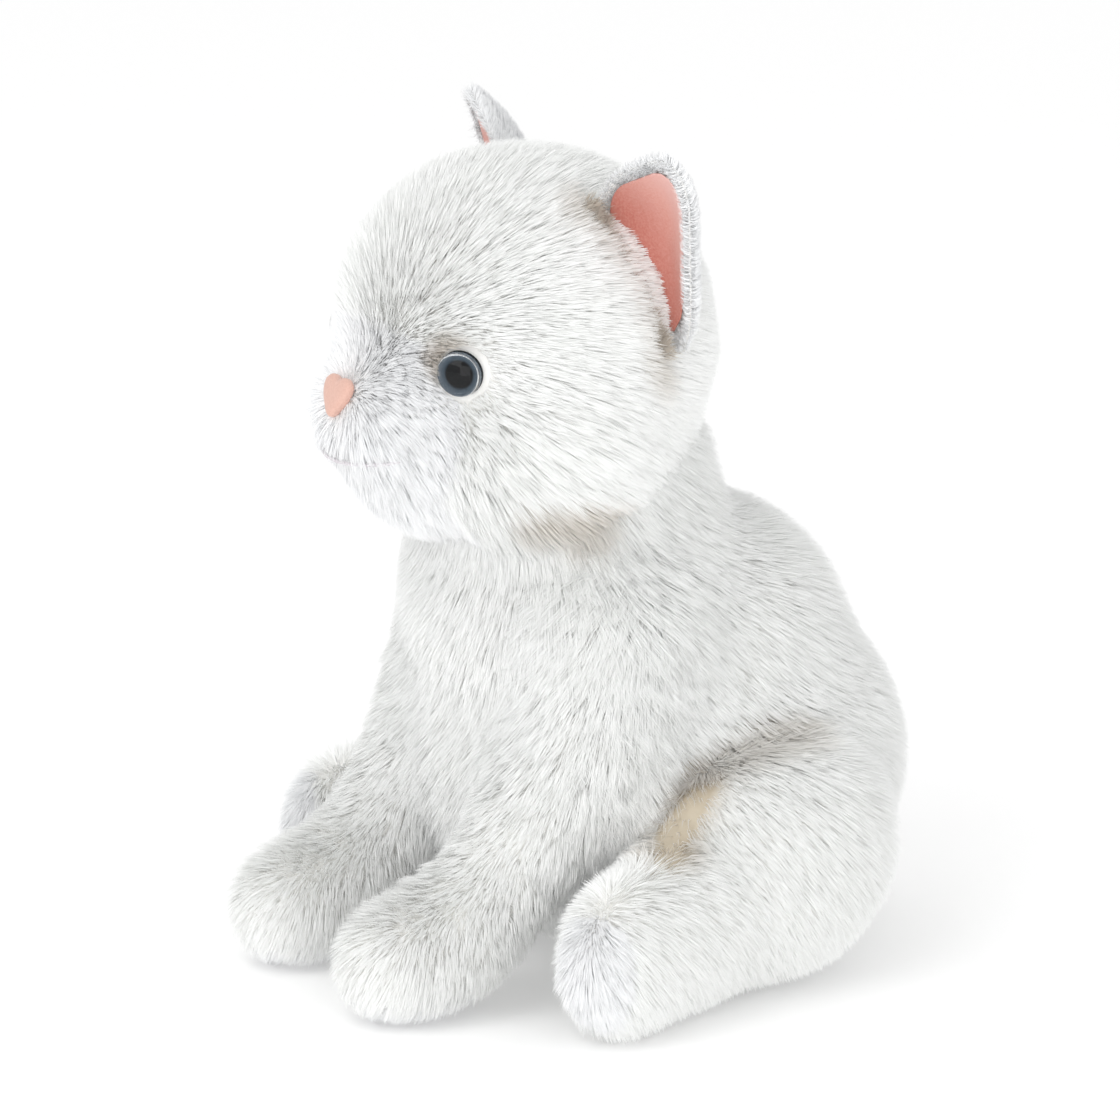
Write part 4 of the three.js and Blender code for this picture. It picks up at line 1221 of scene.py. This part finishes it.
# %% Ride and stand for
for bag, body, nodes in (
    (
        torso_bag,
        "torso",
        ["belly_panel", "torso_side_left", "torso_side_right", "torso_stuffing", "pellet_pouch"],
    ),
    (head_bag, "head", ["head_gusset", "head_side_left", "head_side_right", "muzzle_panel", "head_stuffing"]),
    *(
        (bag, f"{limb}_leg_{s}", [f"{limb}_leg_skin_{s}", f"{limb}_leg_stuffing_{s}", f"{limb}_paw_sole_{s}"])
        for limb, limb_bags in (("front", leg_bags), ("hind", thigh_bags))
        for s, bag in limb_bags.items()
    ),
    (tail_bag, "tail", ["tail_skin", "tail_stuffing"]),
):
    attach(bag, body)
    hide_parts(*nodes)
for piece in torso_coat.values():
    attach(piece, "torso")
for piece in [*head_coat.values(), muzzle_coat]:
    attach(piece, "head")
for side_name in ("left", "right"):
    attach(leg_coat[side_name], f"front_leg_{side_name}")
    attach(thigh_coat[side_name], f"hind_leg_{side_name}")
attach(tail_coat, "tail")
for body, piece in sole_coat.items():
    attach(piece, body)
for side_name in ("left", "right"):
    for piece, node, slot_name in (
        (ear_backs[side_name], f"ear_back_{side_name}", "short_pile_fur"),
        (ear_linings[side_name], f"ear_lining_{side_name}", "ear_velour"),
    ):
        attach(piece, f"ear_{side_name}")
        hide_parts(node)
    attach(ear_fur[side_name], f"ear_{side_name}")
    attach(ear_fringe[side_name], "head")
    for piece, node, slot_name in (
        (eye_domes[side_name], f"eye_dome_{side_name}", "eye_clear"),
        (eye_plates[side_name], f"eye_stem_{side_name}", "eye_painted"),
    ):
        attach(piece, "head")
        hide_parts(node)
for piece, body, node, slot_name in (
    (nose, "head", "nose_pad", "nose_velour"),
    (mouth, "head", "mouth_thread", "mouth_thread"),
    (neck_plug, "neck", "neck_stuffing", "polyester_stuffing"),
):
    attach(piece, body)
    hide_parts(node)

# %% [markdown]
# ## Studio
# A pale floor that fades into the background, a near-white world for even light and two broad softboxes.

# %% World, lights and camera
scene = bpy.context.scene
world = bpy.data.worlds.new("studio")
world.use_nodes = True
sky = world.node_tree.nodes["Background"]
sky.inputs["Color"].default_value = (1.0, 1.0, 1.0, 1)
seen = world.node_tree.nodes.new("ShaderNodeLightPath")
strength = world.node_tree.nodes.new("ShaderNodeMapRange")
strength.inputs["To Min"].default_value = 0.80  # what lights the cat
strength.inputs["To Max"].default_value = 1.0  # what the eye sees behind it
world.node_tree.links.new(seen.outputs["Is Camera Ray"], strength.inputs["Value"])
world.node_tree.links.new(strength.outputs["Result"], sky.inputs["Strength"])
scene.world = world
scene.view_settings.view_transform = "Standard"
scene.cycles.diffuse_bounces = 8


def softbox(name, place, aim, size, power):
    """A square area light at place, turned to aim, in metres and watts."""
    data = bpy.data.lights.new(name, "AREA")
    data.size = size
    data.energy = power
    light = bpy.data.objects.new(name, data)
    light.location = place
    light.rotation_euler = (Vector(aim) - Vector(place)).to_track_quat("-Z", "Y").to_euler()
    scene.collection.objects.link(light)
    return light


softbox("key", (0.35, -0.9, 0.95), (0, -0.04, 0.12), 0.8, 3.5)
softbox("fill", (1.0, -0.6, 0.28), (0, -0.04, 0.08), 0.9, 3.5)

camera_data = bpy.data.cameras.new("camera")
camera = bpy.data.objects.new("camera", camera_data)
scene.collection.objects.link(camera)
azimuth, elevation = np.radians(60), np.radians(15)
right = np.array([np.cos(azimuth), np.sin(azimuth), 0])
level_out = np.array([np.sin(azimuth), -np.cos(azimuth), 0])
back = level_out * np.cos(elevation) + np.array([0, 0, np.sin(elevation)])
upward = np.cross(back, right)
aim = np.array([0, -54.0, 203.6]) + 9.73 * right - 72.95 * upward
distance = 2.6
camera_data.lens = 36 * distance / 0.3404
camera.location = aim * MM + back * distance
camera.rotation_euler = (-Vector(back)).to_track_quat("-Z", "Y").to_euler()
scene.camera = camera

# %% The floor
paper, paper_tree, paper_shader = new_material("studio paper", 0.9)
grain = ramp(paper_tree, noise(paper_tree, 300, 2.0), [(0.3, (0.93, 0.93, 0.93)), (0.7, (0.95, 0.95, 0.95))])
paper_tree.links.new(grain, paper_shader.inputs["Base Color"])
paper_shader.inputs["Emission Color"].default_value = (1, 1, 1, 1)
paper_shader.inputs["Emission Strength"].default_value = 0.22
FLOOR = 4000
corners = [(-FLOOR, -FLOOR, 0), (FLOOR, -FLOOR, 0), (FLOOR, FLOOR, 0), (-FLOOR, FLOOR, 0)]
floor = add_mesh("floor", corners, [(0, 1, 2, 3)], paper)
floor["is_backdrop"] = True

# %% Sizes and the end
low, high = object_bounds()
print("visual", [round(x * 1000, 1) for x in (*low, *high)])
